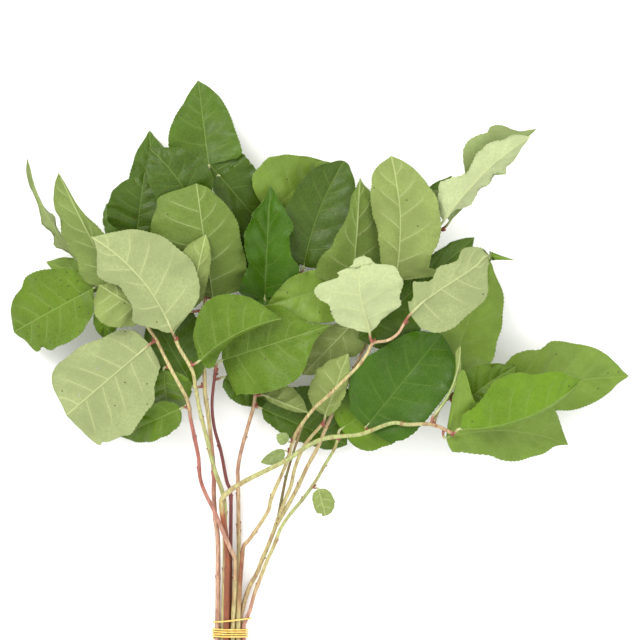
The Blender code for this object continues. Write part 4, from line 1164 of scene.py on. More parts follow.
def bark_finish(name, stops, joint, pith, drift=0.12, streak_shade=0.62):
    """Bark whose colour changes along the stem, with streaks, scuffs, blotches, nodes and a pale cut end."""
    finish = Finish(name, roughness=0.5)
    share = finish.attribute("share")
    strayed = finish.maths("MULTIPLY_ADD", finish.noise(16 * MM), drift, -drift / 2)
    ramp = finish.node("ShaderNodeValToRGB", {"Fac": finish.maths("ADD", share, strayed)})
    points = ramp.color_ramp.elements
    points.remove(points[-1])
    points[0].color = (*stops[0][1], 1.0)
    for position, colour in stops[1:]:
        points.new(position).color = (*colour, 1.0)
    streaks = finish.noise(1.1 * MM, detail=4.0, stretch=(1.0, 0.12, 1.0))
    streaked = finish.span(streaks, low=0.4, high=0.65)
    base = finish.mix(streaked, ramp.outputs["Color"], (streak_shade,) * 3, blend="MULTIPLY")
    scuffs = finish.noise(4 * MM, detail=3.0)
    base = finish.mix(finish.span(scuffs, low=0.55, high=0.75, high_to=0.35), base, stops[0][1])
    blotches = finish.noise(4 * MM, detail=4.0, stretch=(1.0, 0.3, 1.0))
    base = finish.mix(finish.span(blotches, low=0.5, high=0.62, high_to=0.4), base, joint)
    base = finish.mix(finish.span(finish.attribute("node"), low=0.7, high=1.0, high_to=0.3), base, joint)
    base = finish.mix(finish.span(share, low=0.0002, high=0.0008, low_to=1.0, high_to=0.0), base, pith)
    finish.give("Base Color", base)
    finish.give("Roughness", finish.span(scuffs, low=0.3, high=0.7, low_to=0.42, high_to=0.62))
    finish.bump(streaks, depth=0.16 * MM, strength=0.8)
    return finish.made


def scale_finish(name, colour):
    """Bud scales: red-brown, with paler and darker flecks."""
    finish = Finish(name, roughness=0.5)
    flecks = finish.noise(0.7 * MM, detail=3.0)
    flecked = finish.span(flecks, low=0.35, high=0.65)
    finish.give("Base Color", finish.mix(flecked, scaled(colour, factor=0.6), scaled(colour, factor=1.3)))
    finish.bump(flecks, depth=0.1 * MM, strength=0.6)
    return finish.made


def rubber_finish(name, colour):
    """Matt yellow rubber, with faint dust and grain."""
    finish = Finish(name, roughness=0.55)
    dusty = finish.span(finish.noise(2.4 * MM, detail=3.0), low=0.35, high=0.7)
    pale = shifted(colour, (1, 1, 1), share=0.12)
    finish.give("Base Color", finish.mix(dusty, scaled(colour, factor=0.84), pale))
    finish.bump(finish.noise(0.4 * MM), depth=0.05 * MM, strength=0.5)
    return finish.made


def floor_finish(name, colour):
    """A plain pale surface with the faintest tooth."""
    finish = Finish(name, roughness=0.85)
    finish.give("Base Color", finish.mix(finish.noise(1.5 * MM), scaled(colour, factor=0.985), colour))
    finish.give("Specular IOR Level", 0.1)
    return finish.made


def finish_named(name, maker, *settings):
    """The material of that name, made the first time that it is asked for."""
    return bpy.data.materials.get(name) or maker(name, *settings)


def leaf_finishes(look, colours):
    """The two materials of a leaf's faces, and that of its stalk."""
    plain = SPECKS["plain"]
    leaf = getattr(colours, look.upper)
    vein = shifted(leaf, colours.vein, VEIN_SHARES.get(look.upper, 1.0))
    upper = finish_named(f"salal_{look.upper}", leaf_finish, UPPER_FACE, leaf, vein, colours.speck,
                         SPECKS.get(look.upper, plain))
    leaf = getattr(colours, f"{look.under}_under")
    rib = shifted(leaf, colours.rib, RIB_SHARES.get(look.under, 1.0))
    under = finish_named(f"salal_under_{look.under}", leaf_finish, UNDER_FACE, leaf, rib, colours.speck,
                         plain)
    return upper, under, finish_named("salal_stalk", stalk_finish, colours.stalk, colours.rib)


def bark_material(kind, colours):
    """The bark of one stem, with its own colours along it."""
    stops = [(share, tuple(getattr(colours, word))) for share, word in BARKS[kind]]
    return finish_named(f"salal_bark_{kind}", bark_finish, stops, colours.joint, colours.pith)


def new_tree(name, **inputs):
    """A geometry tree with named inputs, each given with its kind: the tree, its inputs and its end."""
    tree = bpy.data.node_groups.new(name, "GeometryNodeTree")
    for way in ("INPUT", "OUTPUT"):
        tree.interface.new_socket("Geometry", in_out=way, socket_type="NodeSocketGeometry")
    for label, kind in inputs.items():
        tree.interface.new_socket(label, in_out="INPUT", socket_type=f"NodeSocket{kind}")
    return tree, tree.nodes.new("NodeGroupInput").outputs, tree.nodes.new("NodeGroupOutput")


def named(tree, name, kind="FLOAT"):
    """A named attribute of the mesh."""
    return add(tree, "GeometryNodeInputNamedAttribute", {"Name": name}, data_type=kind).outputs["Attribute"]


def product(tree, first, second):
    """Two values multiplied."""
    return add(tree, "ShaderNodeMath", {0: first, 1: second}, operation="MULTIPLY").outputs["Value"]


def tube_along(tree, edges, sides):
    """A tube along a mesh's edges, as thick as the points' radius says, with closed ends."""
    line = add(tree, "GeometryNodeMeshToCurve", {"Mesh": edges})
    ring = add(tree, "GeometryNodeCurvePrimitiveCircle", {"Resolution": sides, "Radius": 1.0})
    tube = add(tree, "GeometryNodeCurveToMesh", {
        "Curve": line.outputs["Curve"], "Profile Curve": ring.outputs["Curve"],
        "Scale": named(tree, "radius"), "Fill Caps": True})
    return tube.outputs["Mesh"]


def joined(tree, *parts):
    """Several geometries as one."""
    whole = tree.nodes.new("GeometryNodeJoinGeometry")
    for part in parts:
        tree.links.new(part, whole.inputs["Geometry"])
    return whole.outputs["Geometry"]


def finished_tree(tree, shape, end, material, **selection):
    """Ends a tree: instances made real, smooth faces and the material set, on a selection if one is given."""
    smooth = add(tree, "GeometryNodeSetShadeSmooth", {"Geometry": shape})
    real = add(tree, "GeometryNodeRealizeInstances", {"Geometry": smooth.outputs["Geometry"]})
    painted = add(tree, "GeometryNodeSetMaterial", {
        "Geometry": real.outputs["Geometry"], "Material": material, **selection})
    tree.links.new(painted.outputs["Geometry"], end.inputs["Geometry"])
    return tree


def leaf_tree():
    """Keeps a blade as it is, and turns its stalk's line of points into a tube."""
    tree, given, end = new_tree("leaf_with_stalk", Sides="Int", Material="Material")
    on_stalk = named(tree, "on_stalk", "BOOLEAN")
    parts = add(tree, "GeometryNodeSeparateGeometry", {"Geometry": given["Geometry"], "Selection": on_stalk})
    tube = tube_along(tree, parts.outputs["Selection"], given["Sides"])
    whole = joined(tree, tube, parts.outputs["Inverted"])
    return finished_tree(tree, whole, end, given["Material"], Selection=named(tree, "on_stalk", "BOOLEAN"))


def bark_tree():
    """A tube along a stem's line, with small raised pores scattered over it."""
    tree, given, end = new_tree(
        "stem_with_pores", Sides="Int", Pore="Float", Density="Float", Seed="Int", Material="Material")
    tube = tube_along(tree, given["Geometry"], given["Sides"])
    spots = add(tree, "GeometryNodeDistributePointsOnFaces", {
        "Mesh": tube, "Density": given["Density"], "Seed": given["Seed"]})
    pore = add(tree, "GeometryNodeMeshIcoSphere", {"Radius": 1.0, "Subdivisions": 1})
    size = add(tree, "FunctionNodeRandomValue", {2: PORE_SIZES[0], 3: PORE_SIZES[1], "Seed": given["Seed"]},
               data_type="FLOAT")
    wide = product(tree, size.outputs[1], given["Pore"])
    shape = add(tree, "ShaderNodeCombineXYZ", {0: wide, 1: product(tree, wide, PORE_LENGTH), 2: wide})
    pores = add(tree, "GeometryNodeInstanceOnPoints", {
        "Points": spots.outputs["Points"], "Instance": pore.outputs["Mesh"],
        "Rotation": spots.outputs["Rotation"], "Scale": shape.outputs["Vector"]})
    return finished_tree(tree, joined(tree, pores.outputs["Instances"], tube), end, given["Material"])


def bud_tree():
    """Sets a bud on each point, pointing along the point's aim."""
    tree, given, end = new_tree("buds_on_nodes", Bud="Object", Length="Float", Material="Material")
    bud = add(tree, "GeometryNodeObjectInfo", {"Object": given["Bud"]})
    turned = add(tree, "FunctionNodeAlignRotationToVector", {"Vector": named(tree, "aim", "FLOAT_VECTOR")},
                 axis="Z")
    buds = add(tree, "GeometryNodeInstanceOnPoints", {
        "Points": given["Geometry"], "Instance": bud.outputs["Geometry"],
        "Rotation": turned.outputs["Rotation"], "Scale": product(tree, named(tree, "size"), given["Length"])})
    return finished_tree(tree, buds.outputs["Instances"], end, given["Material"])


def band_tree():
    """A rubber band: a tube along the band's path."""
    tree, given, end = new_tree("rubber_band", Sides="Int", Material="Material")
    return finished_tree(tree, tube_along(tree, given["Geometry"], given["Sides"]), end, given["Material"])


def grown(name, mesh, tree, settings, rounded=False):
    """The plain object that a geometry tree makes of a mesh, with every edge smooth if it is rounded."""
    draft = bpy.data.objects.new("draft", mesh)
    bpy.context.scene.collection.objects.link(draft)
    modifier = draft.modifiers.new("grow", "NODES")
    modifier.node_group = tree
    for socket in tree.interface.items_tree:
        if socket.name in settings:
            modifier[socket.identifier] = settings[socket.name]
    graph = bpy.context.evaluated_depsgraph_get()
    made = bpy.data.meshes.new_from_object(draft.evaluated_get(graph))
    draft.modifiers.remove(modifier)
    bpy.data.objects.remove(draft)
    made.name = name
    if not rounded:
        made.set_sharp_from_angle(angle=SHARP_ANGLE)
    piece = bpy.data.objects.new(name, made)
    bpy.context.scene.collection.objects.link(piece)
    return piece


def point_mesh(name, points, edges, faces, numbers):
    """A mesh in metres from points in millimetres, with named numbers at each point."""
    mesh = bpy.data.meshes.new(name)
    mesh.from_pydata((np.asarray(points) * MM).tolist(), edges, faces)
    for label, values in numbers.items():
        values = np.asarray(values)
        kind = "BOOLEAN" if values.dtype == bool else "FLOAT" if values.ndim == 1 else "FLOAT_VECTOR"
        held = mesh.attributes.new(label, kind, "POINT")
        held.data.foreach_set("vector" if kind == "FLOAT_VECTOR" else "value", values.ravel())
    return mesh


def line_mesh(name, points, closed=False, **numbers):
    """A mesh of points joined in a line."""
    edges = [(k, k + 1) for k in range(len(points) - 1)]
    if closed:
        edges.append((len(points) - 1, 0))
    return point_mesh(name, points, edges, [], numbers)


def registered(piece, slot, *nodes):
    """Puts a finished piece on the bunch's one body."""
    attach(piece, BODY)
    if nodes:
        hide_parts(*nodes)


def window(s, centre, half):
    """1 at the centre, falling smoothly to 0 at `half` to each side."""
    return 0.5 + 0.5 * np.cos(np.pi * np.clip((s - centre) / half, -1, 1))


def smooth_line(knots, u):
    """The value at u on a smooth line through (percent of the length, value) points."""
    x, y = np.array(knots, float).T
    x = x / PERCENT
    slope = np.gradient(y, x)
    k = np.clip(np.searchsorted(x, u) - 1, 0, len(x) - 2)
    span = x[k + 1] - x[k]
    t = np.clip((u - x[k]) / span, 0, 1)
    smooth = (1 + 2 * t) * (1 - t)**2 * y[k] + t**2 * (3 - 2 * t) * y[k + 1]
    return smooth + span * t * (1 - t) * ((1 - t) * slope[k] - t * slope[k + 1]) * EDGE_TIGHT


class LeafSurface:
    """The middle surface of one leaf, as rows of points that follow its side veins."""

    def __init__(self, blade, look, sizes):
        self.blade, self.look, self.sizes = blade, look, sizes
        leaf = blade.leaf
        self.up = 1.0 if leaf.face == "upper" else -1.0
        self.row_step = (LAST_VEIN - FIRST_VEIN) / (ROWS_PER_VEIN * look.veins)
        even = FIRST_VEIN + self.row_step * np.arange(ROWS_PER_VEIN * look.veins + 1)
        rows = np.concatenate([END_ROWS, even, 1 - np.array(END_ROWS[::-1])])
        wide = max(leaf.left, leaf.right)
        half = np.linspace(0, 1, max(FEWEST_COLUMNS, round(wide / COLUMN_STEP)) + 1)[1:]
        half = np.concatenate([[RIB_FINE / wide], half])
        columns = np.concatenate([-half[::-1], [0.0], half])
        self.s, self.v = np.meshgrid(rows, columns, indexing="ij")
        self.far = np.abs(self.v)
        self.middle = len(half)
        self.u = self.vein_course()
        self.centre = smooth_line(((0, 0), *look.lean), self.u) if look.lean else np.zeros_like(self.u)
        plain = np.where(self.v > 0, leaf.left, leaf.right) * blade.width(self.u)
        self.reach = self.outline(plain)
        across, raised = self.folded()
        self.across = across * self.narrowed() * self.reach / plain
        self.rib_mm = self.far * self.reach
        self.points = self.placed(raised * self.reach)
        self.pierce()

    def vein_course(self):
        """Each row starts on the midrib and bends towards the tip, as a side vein does."""
        wobble = np.sin(FULL_TURN * VEIN_WOBBLES * self.s + self.blade.phase) * 4 * self.s * (1 - self.s)
        s = self.s + VEIN_WOBBLE * wobble
        forward = VEIN_FORWARD * ((1 - VEIN_BEND) * self.far + VEIN_BEND * self.far**3)
        course = 1 - (1 - s)**(1 + forward)
        back = self.look.lobe * (1 - course)**LOBE_FADE * np.where(self.v < 0, self.far**LOBE_SHAPE, 0)
        return self.look.start + (self.look.end - self.look.start) * course - back

    def outline(self, plain):
        """The half-width at each point: a drawn one, or the plain one with a waved edge and a pointed tip."""
        if self.look.left:
            at_start, at_end = self.centre[[0, -1], self.middle]
            start, end = PERCENT * self.look.start, PERCENT * self.look.end
            left = smooth_line(((start, at_start), *self.look.left, (end, at_end)), self.u) - self.centre
            right = smooth_line(((start, -at_start), *self.look.right, (end, -at_end)), self.u) + self.centre
            return np.maximum(np.where(self.v > 0, left, right), LEAST_HALF_WIDTH)
        waves = sum(size * np.sin(FULL_TURN * count * self.u + self.blade.phase * count + np.sign(self.v))
                    for size, count in EDGE_WAVES)
        return plain * (1 + waves) * (1 - self.look.tip * np.clip((self.u - TIP_START) / TIP_SPAN, 0, 1)**2)

    def narrowed(self):
        """What is left of the width after the notches and the teeth."""
        share = np.ones_like(self.u)
        for notch in self.look.notches:
            cut = notch.depth * window(self.s, notch.s, notch.half)
            share = share * np.where(np.sign(self.v) == notch.side, 1 - cut, 1)
        tooth = np.zeros_like(share)
        tooth[1::2, [0, -1]] = self.sizes.tooth / MM
        return share * (1 - tooth / np.maximum(self.reach, TEETH_FADE * self.sizes.tooth / MM))

    def folded(self):
        """The place across the leaf and the height, with the margin rolled over where there is a fold."""
        turn = np.zeros_like(self.v)
        for fold in self.look.folds:
            beyond = np.clip((self.far - fold.keep) / FOLD_SOFTNESS, 0, 1) * (np.sign(self.v) == fold.side)
            turn = turn + FOLD_TURN * beyond * window(self.s, fold.s, fold.half)
        across, raised = np.zeros_like(self.v), np.zeros_like(self.v)
        last = self.v.shape[1]
        outward = [(j, j - 1) for j in range(self.middle + 1, last)]
        outward += [(j, j + 1) for j in range(self.middle - 1, -1, -1)]
        for j, inner in outward:
            step = self.v[:, j] - self.v[:, inner]
            across[:, j] = across[:, inner] + step * np.cos(turn[:, j])
            raised[:, j] = raised[:, inner] + np.abs(step) * np.sin(turn[:, j])
        return across, raised

    def vein_number(self):
        """How many rows a point is past the first vein on its side; the right side's veins start later."""
        return (self.s - FIRST_VEIN) / self.row_step - np.where(self.v > 0, 0, ROWS_PER_VEIN / 2)

    def vein_mm(self):
        """How far a point is from the nearest side vein, or further where the vein fades towards the edge."""
        number = self.vein_number()
        nearest = ROWS_PER_VEIN * np.clip(np.round(number / ROWS_PER_VEIN), 0, self.look.veins - 1)
        stretch = np.gradient(self.u, self.s[:, 0], axis=0)
        away = np.abs(number - nearest) * self.row_step * self.blade.length * VEIN_SLANT * stretch
        return away + VEIN_FADE * np.clip((self.far - VEIN_FADE_FROM) / VEIN_FADE_SPAN, 0, 1)**2

    def placed(self, raised):
        """The points in space, raised from the blade by a height and the relief, and kept off the floor."""
        at = (np.clip(self.u, 0, 1), np.clip(self.across, -1, 1))
        normal = self.blade.normal(*at)
        points = self.blade.point(self.u, self.across)
        points[..., 2] = self.blade.point(*at)[..., 2]
        points[..., :2] += self.blade.side * self.centre[..., None]
        if self.look.twist:
            points = self.twisted(points, normal)
        points = points + normal * (raised + self.relief() - self.look.sink)[..., None]
        points[..., 2] = np.maximum(points[..., 2], CLEAR_OF_FLOOR)
        return points

    def twisted(self, points, normal):
        """The points with the tip turned over about the midrib."""
        first, span = self.look.twist
        turn = math.pi * window(np.clip(self.u, first, first + span), first + span, span)[..., None]
        axis = self.blade.point(self.u, 0 * self.u)
        axis[..., :2] += self.blade.side * self.centre[..., None]
        aside = (self.up * self.v * self.reach)[..., None]
        return axis + (points - axis) * np.cos(turn) + normal * aside * np.sin(turn)

    def relief(self):
        """Ripples along the edge, broad buckles, skin puffed up between the veins and a sunken midrib."""
        def narrowing(width):
            """1 where the leaf is wide, and less where it is narrower than that."""
            return np.minimum(1, self.reach / width)

        wave = FULL_TURN * RIPPLE_COUNT * self.u + self.blade.phase + np.where(self.v > 0, RIPPLE_SHIFT, 0)
        size, speed, start = RIPPLE_OVERTONE
        wave = np.sin(wave) + size * np.sin(speed * wave + start)
        ripple = self.look.ripple * self.far**3 * wave * narrowing(FULL_RIPPLE_WIDTH)
        buckle = sum(size * np.sin(FULL_TURN * (a * self.u + b * self.v / 2) + self.blade.phase * (1 + a))
                     for size, a, b in BUCKLES) * narrowing(FULL_BUCKLE_WIDTH)
        puff = 0.5 - 0.5 * np.cos(FULL_TURN * self.vein_number() / ROWS_PER_VEIN)
        puff = puff * np.sin(np.pi * self.far**QUILT_SHAPE)**2 * narrowing(FULL_QUILT_WIDTH)
        groove = np.exp(-(self.rib_mm / GROOVE_REACH)**2) * narrowing(FULL_GROOVE_WIDTH)
        skin = self.up * (self.sizes.quilt * puff - self.sizes.groove * groove)
        return (self.sizes.ripple * ripple + self.sizes.buckle * buckle + skin) / MM

    def pierce(self):
        """Opens the holes: the points round each are set on a circle, and the faces inside are left out."""
        self.open = np.zeros(self.s.shape, bool)
        for hole in self.look.holes:
            i = int(np.argmin(np.abs(self.s[:, 0] - hole.s)))
            j = int(np.argmin(np.abs(self.v[0] - hole.v)))
            self.open[i, j] = True
            centre = self.points[i, j].copy()
            for di, dj in ((-1, -1), (-1, 0), (-1, 1), (0, -1), (0, 1), (1, -1), (1, 0), (1, 1)):
                away = unit(self.points[i + di, j + dj] - centre)
                self.points[i + di, j + dj] = centre + hole.radius * away

    def normals(self):
        """The way that the finished surface faces at each point."""
        along_leaf = np.gradient(self.points, axis=0)
        across_leaf = np.gradient(self.points, axis=1)
        return unit(np.cross(along_leaf, across_leaf))

    def faces(self):
        """The faces of the camera's side, with the base point and tip point after the grid's."""
        rows, columns = self.s.shape
        base, tip = rows * columns, rows * columns + 1
        faces = []
        for i in range(rows - 1):
            for j in range(columns - 1):
                if not self.open[i:i + 2, j:j + 2].any():
                    corner = i * columns + j
                    faces.append((corner, corner + columns, corner + columns + 1, corner + 1))
        last = (rows - 1) * columns
        faces += [(base, j, j + 1) for j in range(columns - 1)]
        faces += [(last + j, tip, last + j + 1) for j in range(columns - 1)]
        return faces

    def with_ends(self, grid, base, tip):
        """A grid's values in a row, with those of the base point and the tip point added."""
        grid = np.asarray(grid, float)
        flat = grid.reshape(-1, *grid.shape[2:])
        return np.concatenate([flat, [base], [tip]])

    def end_point(self, row):
        """The base or tip, just past the end row."""
        edge = self.points[row, self.middle]
        inner = self.points[row + (1 if row == 0 else -1), self.middle]
        return edge + END_REACH * (edge - inner)

    def shell(self):
        """Both faces of the blade and its rim: points, faces, which of them are upper ones, and numbers."""
        normal = self.normals()
        half = self.sizes.blade / MM / 2
        rib = self.sizes.rib / MM * np.exp(-(self.rib_mm / RIB_REACH)**2) * (1 - RIB_TAPER * self.u)
        vein = VEIN_RAISED * np.clip(1 - self.vein_mm() / (self.row_step * self.blade.length), 0, 1)
        below = half + np.maximum(rib, vein * (1 - self.far))
        front, back = (half, below) if self.up > 0 else (below, half)
        front, back = np.broadcast_to(front, self.s.shape), np.broadcast_to(back, self.s.shape)
        base, tip = self.end_point(0), self.end_point(-1)
        middle = self.with_ends(self.points, base, tip)
        way = self.with_ends(normal, unit(normal[0].mean(0)), unit(normal[-1].mean(0)))
        front, back = self.with_ends(front, half, half), self.with_ends(back, half, half)
        points = np.concatenate([middle + way * front[:, None], middle - way * back[:, None]])
        count = len(middle)
        faces = self.faces()
        edges = {(a, b) for face in faces for a, b in zip(face, face[1:] + face[:1])}
        rims = [(b, a, a + count, b + count) for a, b in edges if (b, a) not in edges]
        behind = [tuple(k + count for k in reversed(face)) for face in faces]
        upper = [self.up > 0] * len(faces) + [self.up < 0] * len(faces) + [True] * len(rims)
        numbers = {
            "vein_mm": self.with_ends(self.vein_mm(), FAR_FROM_VEINS, FAR_FROM_VEINS),
            "rib_mm": self.with_ends(self.rib_mm, 0.0, 0.0),
            "edge_mm": self.with_ends((1 - self.far) * self.reach, 0.0, 0.0),
            "share": self.with_ends(self.s, 0.0, 1.0),
        }
        numbers = {key: np.concatenate([value, value]) for key, value in numbers.items()}
        return points, faces + behind + rims, upper, numbers

    def stalk(self, line):
        """The stalk's centre from inside the stem to where it runs out along the midrib."""
        path, out = stalk_path(self.blade, line, STALK_STEPS)
        run = np.array(STALK_RUN) * (HIDDEN_RUN if self.up > 0 else 1)
        sink = STALK_CLEAR if self.up > 0 else STALK_SINK
        below = self.blade.point(run, 0 * run) - self.blade.normal(run, 0 * run) * sink * self.up
        points = np.vstack([path[0] - out * STALK_ROOT, path, below])
        share = along(points) / along(points)[-1]
        at, thick = np.array(STALK_SHAPE).T
        return points, share, self.blade.stalk * np.interp(share, at, thick)


def leaf_mesh(name, blade, line, look, sizes):
    """A blade as a thin shell, with the stalk's centreline beside it in the same mesh."""
    surface = LeafSurface(blade, look, sizes)
    points, faces, upper, numbers = surface.shell()
    used = np.zeros(len(points), bool)
    used[np.unique(np.concatenate(faces))] = True
    renumbered = np.cumsum(used) - 1
    faces = [tuple(int(renumbered[k]) for k in face) for face in faces]
    points, numbers = points[used], {key: value[used] for key, value in numbers.items()}
    stalk, share, radius = surface.stalk(line)
    first, blank = len(points), np.zeros(len(stalk))
    edges = [(first + k, first + k + 1) for k in range(len(stalk) - 1)]
    numbers = {key: np.concatenate([value, share if key == "share" else blank])
               for key, value in numbers.items()}
    numbers["radius"] = np.concatenate([np.zeros(first), radius * MM])
    numbers["on_stalk"] = np.arange(first + len(stalk)) >= first
    mesh = point_mesh(name, np.vstack([points, stalk]), edges, faces, numbers)
    for material in leaf_finishes(look, bpy.context.scene.salal_colours):
        mesh.materials.append(material)
    mesh.polygons.foreach_set("material_index", np.where(upper, 0, 1))
    return mesh


Node = namedtuple("Node", "index out kind")


def stem_nodes(name, stems, blades):
    """The nodes of a stem or twig: each point's number, the way that its bud faces, and what grows there."""
    line = stems[name]
    nodes = []
    for blade in blades.values():
        if blade.leaf.stem == name:
            index = len(line.points) - 1 if blade.leaf.at_end else line.nearest(blade.base)
            _, out = stalk_path(blade, line, STALK_STEPS)
            nodes.append(Node(index, out, "leaf"))
    for count, place in enumerate(BARE_NODES.get(name, ())):
        index = min(line.nearest(place), len(line.points) - 2)
        run = line.points[index + 1] - line.points[index]
        sideways = unit(np.array([-run[1], run[0], NODE_RISE * np.linalg.norm(run)]))
        nodes.append(Node(index, sideways * (-1)**count * np.array([1, 1, (-1)**count]), "bare"))
    for twig, other in stems.items():
        if STEMS[twig].parent == name:
            nodes.append(Node(line.nearest(other.points[0][:2]), np.array([0.0, 0.0, 1.0]), "bare"))
    return nodes


def stem_mesh(name, stems, blades, sizes):
    """A stem's centreline, thicker at its nodes."""
    line = stems[name]
    points = line.points.copy()
    points[0] += CUT_TRIM * unit(points[1] - points[0])
    near = np.zeros(len(line.points))
    for node in stem_nodes(name, stems, blades):
        gap = (line.distance - line.distance[node.index]) / NODE_REACH
        near = np.maximum(near, np.exp(-gap**2))
    share = line.distance / line.distance[-1]
    radius = line.radius * (1 - STEM_SLIMMING * share) * (1 + sizes.swelling * near) * MM
    if STEMS[name].parent:
        share = TWIG_SHARE + (1 - TWIG_SHARE) * share
    return line_mesh(name, points, radius=radius, share=share, node=near)


def bud_places(name, stems, blades):
    """The buds along a stem: each one's place, the way that it points and its size."""
    line = stems[name]
    buds = []
    for node in stem_nodes(name, stems, blades):
        index = min(node.index, len(line.points) - 2)
        run = unit(line.points[index + 1] - line.points[index])
        out = unit(node.out - run * float(node.out @ run) + NUDGE_UP)
        if node.index == len(line.points) - 1:
            place = line.points[-1] - run * BUD_BACK
            buds.append((place, unit(run + BUD_LEAN * np.cross(run, out)), BUD_SCALE["end"]))
        else:
            place = line.points[index] + out * line.radius[index] * BUD_SUNK + run * BUD_FORWARD
            buds.append((place, unit(BUD_TURN[0] * out + BUD_TURN[1] * run), BUD_SCALE[node.kind]))
    return buds


def bud_shape():
    """One pointed bud, one metre long, standing on its base."""
    mesh = bpy.data.meshes.new("bud_shape")
    shape = bmesh.new()
    turn = FULL_TURN * np.arange(BUD_SIDES) / BUD_SIDES
    rings = [[shape.verts.new((radius * math.cos(t), radius * math.sin(t), height)) for t in turn]
             for height, radius in BUD_PROFILE[:-1]]
    tip = shape.verts.new((0, 0, BUD_PROFILE[-1][0]))
    for lower, upper in zip(rings[:-1], rings[1:]):
        for k in range(BUD_SIDES):
            after = (k + 1) % BUD_SIDES
            shape.faces.new((lower[k], lower[after], upper[after], upper[k]))
    for k in range(BUD_SIDES):
        shape.faces.new((rings[-1][k], rings[-1][(k + 1) % BUD_SIDES], tip))
    shape.faces.new(reversed(rings[0]))
    shape.to_mesh(mesh)
    shape.free()
    held = bpy.data.objects.new("bud_shape", mesh)
    bpy.context.scene.collection.objects.link(held)
    return held


def band_path(stems, y, turns, pitch, slant):
    """The centre of a band drawn tight round all the stems."""
    reach = abs(turns * pitch) + BAND_MARGIN
    circles = []
    for line in stems.values():
        if STEMS[line.name].parent is None:
            near = np.abs(line.points[:, 1] - y) < reach
            circles += [(p[0], p[2], line.radius[0]) for p in line.points[near]]
    loop = hull_outline(circles, GAP + BAND_RADIUS)
    lean = slant * (loop[:, 0] - loop[:, 0].mean()) / np.ptp(loop[:, 0])
    count = max(1, round(turns * BAND_POINTS))
    step = np.arange(count) % BAND_POINTS
    along_y = y + lean[step] + pitch * np.arange(count) / BAND_POINTS
    return np.column_stack([loop[step, 0], along_y, np.maximum(loop[step, 1], BAND_RADIUS)])


class SALAL_OT_leaves(bpy.types.Operator):
    """Build every leaf, with its veins, edge and stalk"""

    bl_idname = "salal.leaves"
    bl_label = "Leaves"

    def execute(self, context):
        sizes = context.scene.salal_sizes
        stems, blades = settle_pile()
        tree = leaf_tree()
        for name, blade in blades.items():
            look = LOOKS[name]
            mesh = leaf_mesh(name, blade, stems[blade.leaf.stem], look, sizes)
            settings = {"Sides": sizes.stalk_sides, "Material": mesh.materials[2]}
            piece = grown(f"{name}_fine", mesh, tree, settings)
            number = name.removeprefix("leaf_")
            slot = "leaf_dark" if number in DARK_LEAVES else "leaf_upper"
            if blade.leaf.face == "under":
                slot = "leaf_under"
            registered(piece, slot, name)
        return {"FINISHED"}


class SALAL_OT_stems(bpy.types.Operator):
    """Build every stem and twig, with swollen nodes and pores in the bark"""

    bl_idname = "salal.stems"
    bl_label = "Stems"

    def execute(self, context):
        sizes, colours = context.scene.salal_sizes, context.scene.salal_colours
        stems, blades = settle_pile()
        tree = bark_tree()
        for seed, name in enumerate(stems):
            main = main_stem(name)
            settings = {
                "Sides": sizes.stem_sides,
                "Pore": sizes.pore,
                "Density": sizes.pore_density,
                "Seed": seed,
                "Material": bark_material(SAME_BARK.get(name, name), colours),
            }
            piece = grown(f"{name}_fine", stem_mesh(name, stems, blades, sizes), tree, settings)
            registered(piece, STEMS[main].slot, main)
        return {"FINISHED"}


class SALAL_OT_buds(bpy.types.Operator):
    """Set the buds beside the leaf stalks and on the bare nodes"""

    bl_idname = "salal.buds"
    bl_label = "Buds"

    def execute(self, context):
        sizes, colours = context.scene.salal_sizes, context.scene.salal_colours
        stems, blades = settle_pile()
        tree, bud = bud_tree(), bud_shape()
        material = finish_named("salal_bud", scale_finish, colours.bud)
        settings = {"Bud": bud, "Length": sizes.bud, "Material": material}
        for main in sorted(set(map(main_stem, stems))):
            buds = [each for name in stems if main_stem(name) == main
                    for each in bud_places(name, stems, blades)]
            places, aims, scales = zip(*buds)
            mesh = point_mesh(f"{main}_buds", places, [], [], {"aim": aims, "size": scales})
            piece = grown(f"{main}_buds", mesh, tree, settings, rounded=True)
            registered(piece, STEMS[main].slot)
        bpy.data.objects.remove(bud)
        return {"FINISHED"}


class SALAL_OT_bands(bpy.types.Operator):
    """Build the wound rubber band and the single turn above it"""

    bl_idname = "salal.bands"
    bl_label = "Rubber bands"

    def execute(self, context):
        sizes, colours = context.scene.salal_sizes, context.scene.salal_colours
        stems, _ = settle_pile()
        tree = band_tree()
        material = finish_named("salal_band", rubber_finish, colours.band)
        settings = {"Sides": sizes.band_sides, "Material": material}
        for name, path, closed in (
            ("rubber_band_wound", (WOUND_Y, WOUND_TURNS, WOUND_PITCH, WOUND_SLANT), False),
            ("rubber_band_single", (SINGLE_Y, 1, 0, SINGLE_SLANT), True),
        ):
            points = band_path(stems, *path)
            mesh = line_mesh(name, points, closed, radius=np.full(len(points), BAND_RADIUS * MM))
            piece = grown(f"{name}_fine", mesh, tree, settings)
            registered(piece, "band", name)
        return {"FINISHED"}


def area_light(name, place, aim, size, power, colour):
    """A soft square light that faces a point."""
    lamp = bpy.data.lights.new(name, "AREA")
    lamp.size, lamp.energy, lamp.color = size, power, colour
    light = bpy.data.objects.new(name, lamp)
    light.location = place
    light.rotation_euler = (Vector(aim) - Vector(place)).to_track_quat("-Z", "Y").to_euler()
    bpy.context.scene.collection.objects.link(light)


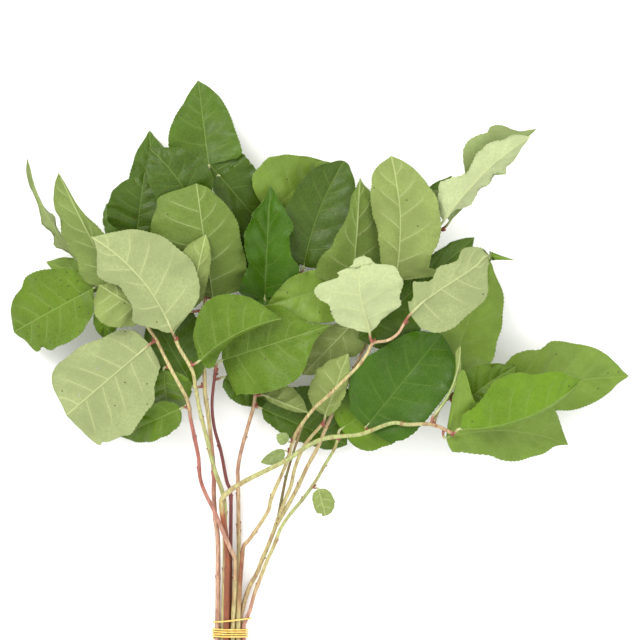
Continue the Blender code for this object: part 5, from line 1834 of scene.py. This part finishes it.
class SALAL_OT_stage(bpy.types.Operator):
    """Set the pale surface, the soft light and the camera above"""

    bl_idname = "salal.stage"
    bl_label = "Stage"

    def execute(self, context):
        colours = context.scene.salal_colours
        bpy.ops.mesh.primitive_plane_add(size=FLOOR_SIZE, location=(0, 0, 0))
        floor = context.object
        floor.name = "floor"
        floor.data.materials.append(finish_named("salal_floor", floor_finish, colours.floor))
        for light in LIGHTS:
            area_light(*light)
        world = context.scene.world or bpy.data.worlds.new("studio")
        context.scene.world = world
        world.use_nodes = True
        sky = world.node_tree.nodes["Background"]
        sky.inputs["Color"].default_value = (1.0, 1.0, 1.0, 1.0)
        sky.inputs["Strength"].default_value = SKY_STRENGTH
        lens = bpy.data.cameras.new("camera")
        lens.lens, lens.clip_end = CAMERA_LENS, 2 * CAMERA_HEIGHT
        camera = bpy.data.objects.new("camera", lens)
        camera.location = (0, CAMERA_Y, CAMERA_HEIGHT)
        context.scene.collection.objects.link(camera)
        context.scene.camera = camera
        context.scene.view_settings.view_transform = "Standard"
        return {"FINISHED"}


OPERATORS = (SALAL_OT_leaves, SALAL_OT_stems, SALAL_OT_buds, SALAL_OT_bands, SALAL_OT_stage)


class SALAL_PT_panel(bpy.types.Panel):
    """Builds the bunch piece by piece"""

    bl_label = "Salal bunch"
    bl_idname = "SALAL_PT_panel"
    bl_space_type = "VIEW_3D"
    bl_region_type = "UI"
    bl_category = "Salal bunch"

    def draw(self, context):
        for operator in OPERATORS:
            self.layout.operator(operator.bl_idname)
        for group in (context.scene.salal_sizes, context.scene.salal_colours):
            column = self.layout.column()
            for name in group.__annotations__:
                column.prop(group, name)


CLASSES = (SalalSizes, SalalColours, *OPERATORS, SALAL_PT_panel)


def register():
    """Add the settings, the operators and the panel."""
    for each in CLASSES:
        bpy.utils.register_class(each)
    bpy.types.Scene.salal_sizes = PointerProperty(type=SalalSizes)
    bpy.types.Scene.salal_colours = PointerProperty(type=SalalColours)


def unregister():
    """Take away what register() added."""
    del bpy.types.Scene.salal_colours
    del bpy.types.Scene.salal_sizes
    for each in reversed(CLASSES):
        bpy.utils.unregister_class(each)


def main():
    """Build the whole bunch with its stage."""
    register()
    bpy.ops.salal.leaves()
    bpy.ops.salal.stems()
    bpy.ops.salal.buds()
    bpy.ops.salal.bands()
    bpy.ops.salal.stage()
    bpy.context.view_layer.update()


if __name__ == "__main__":
    main()
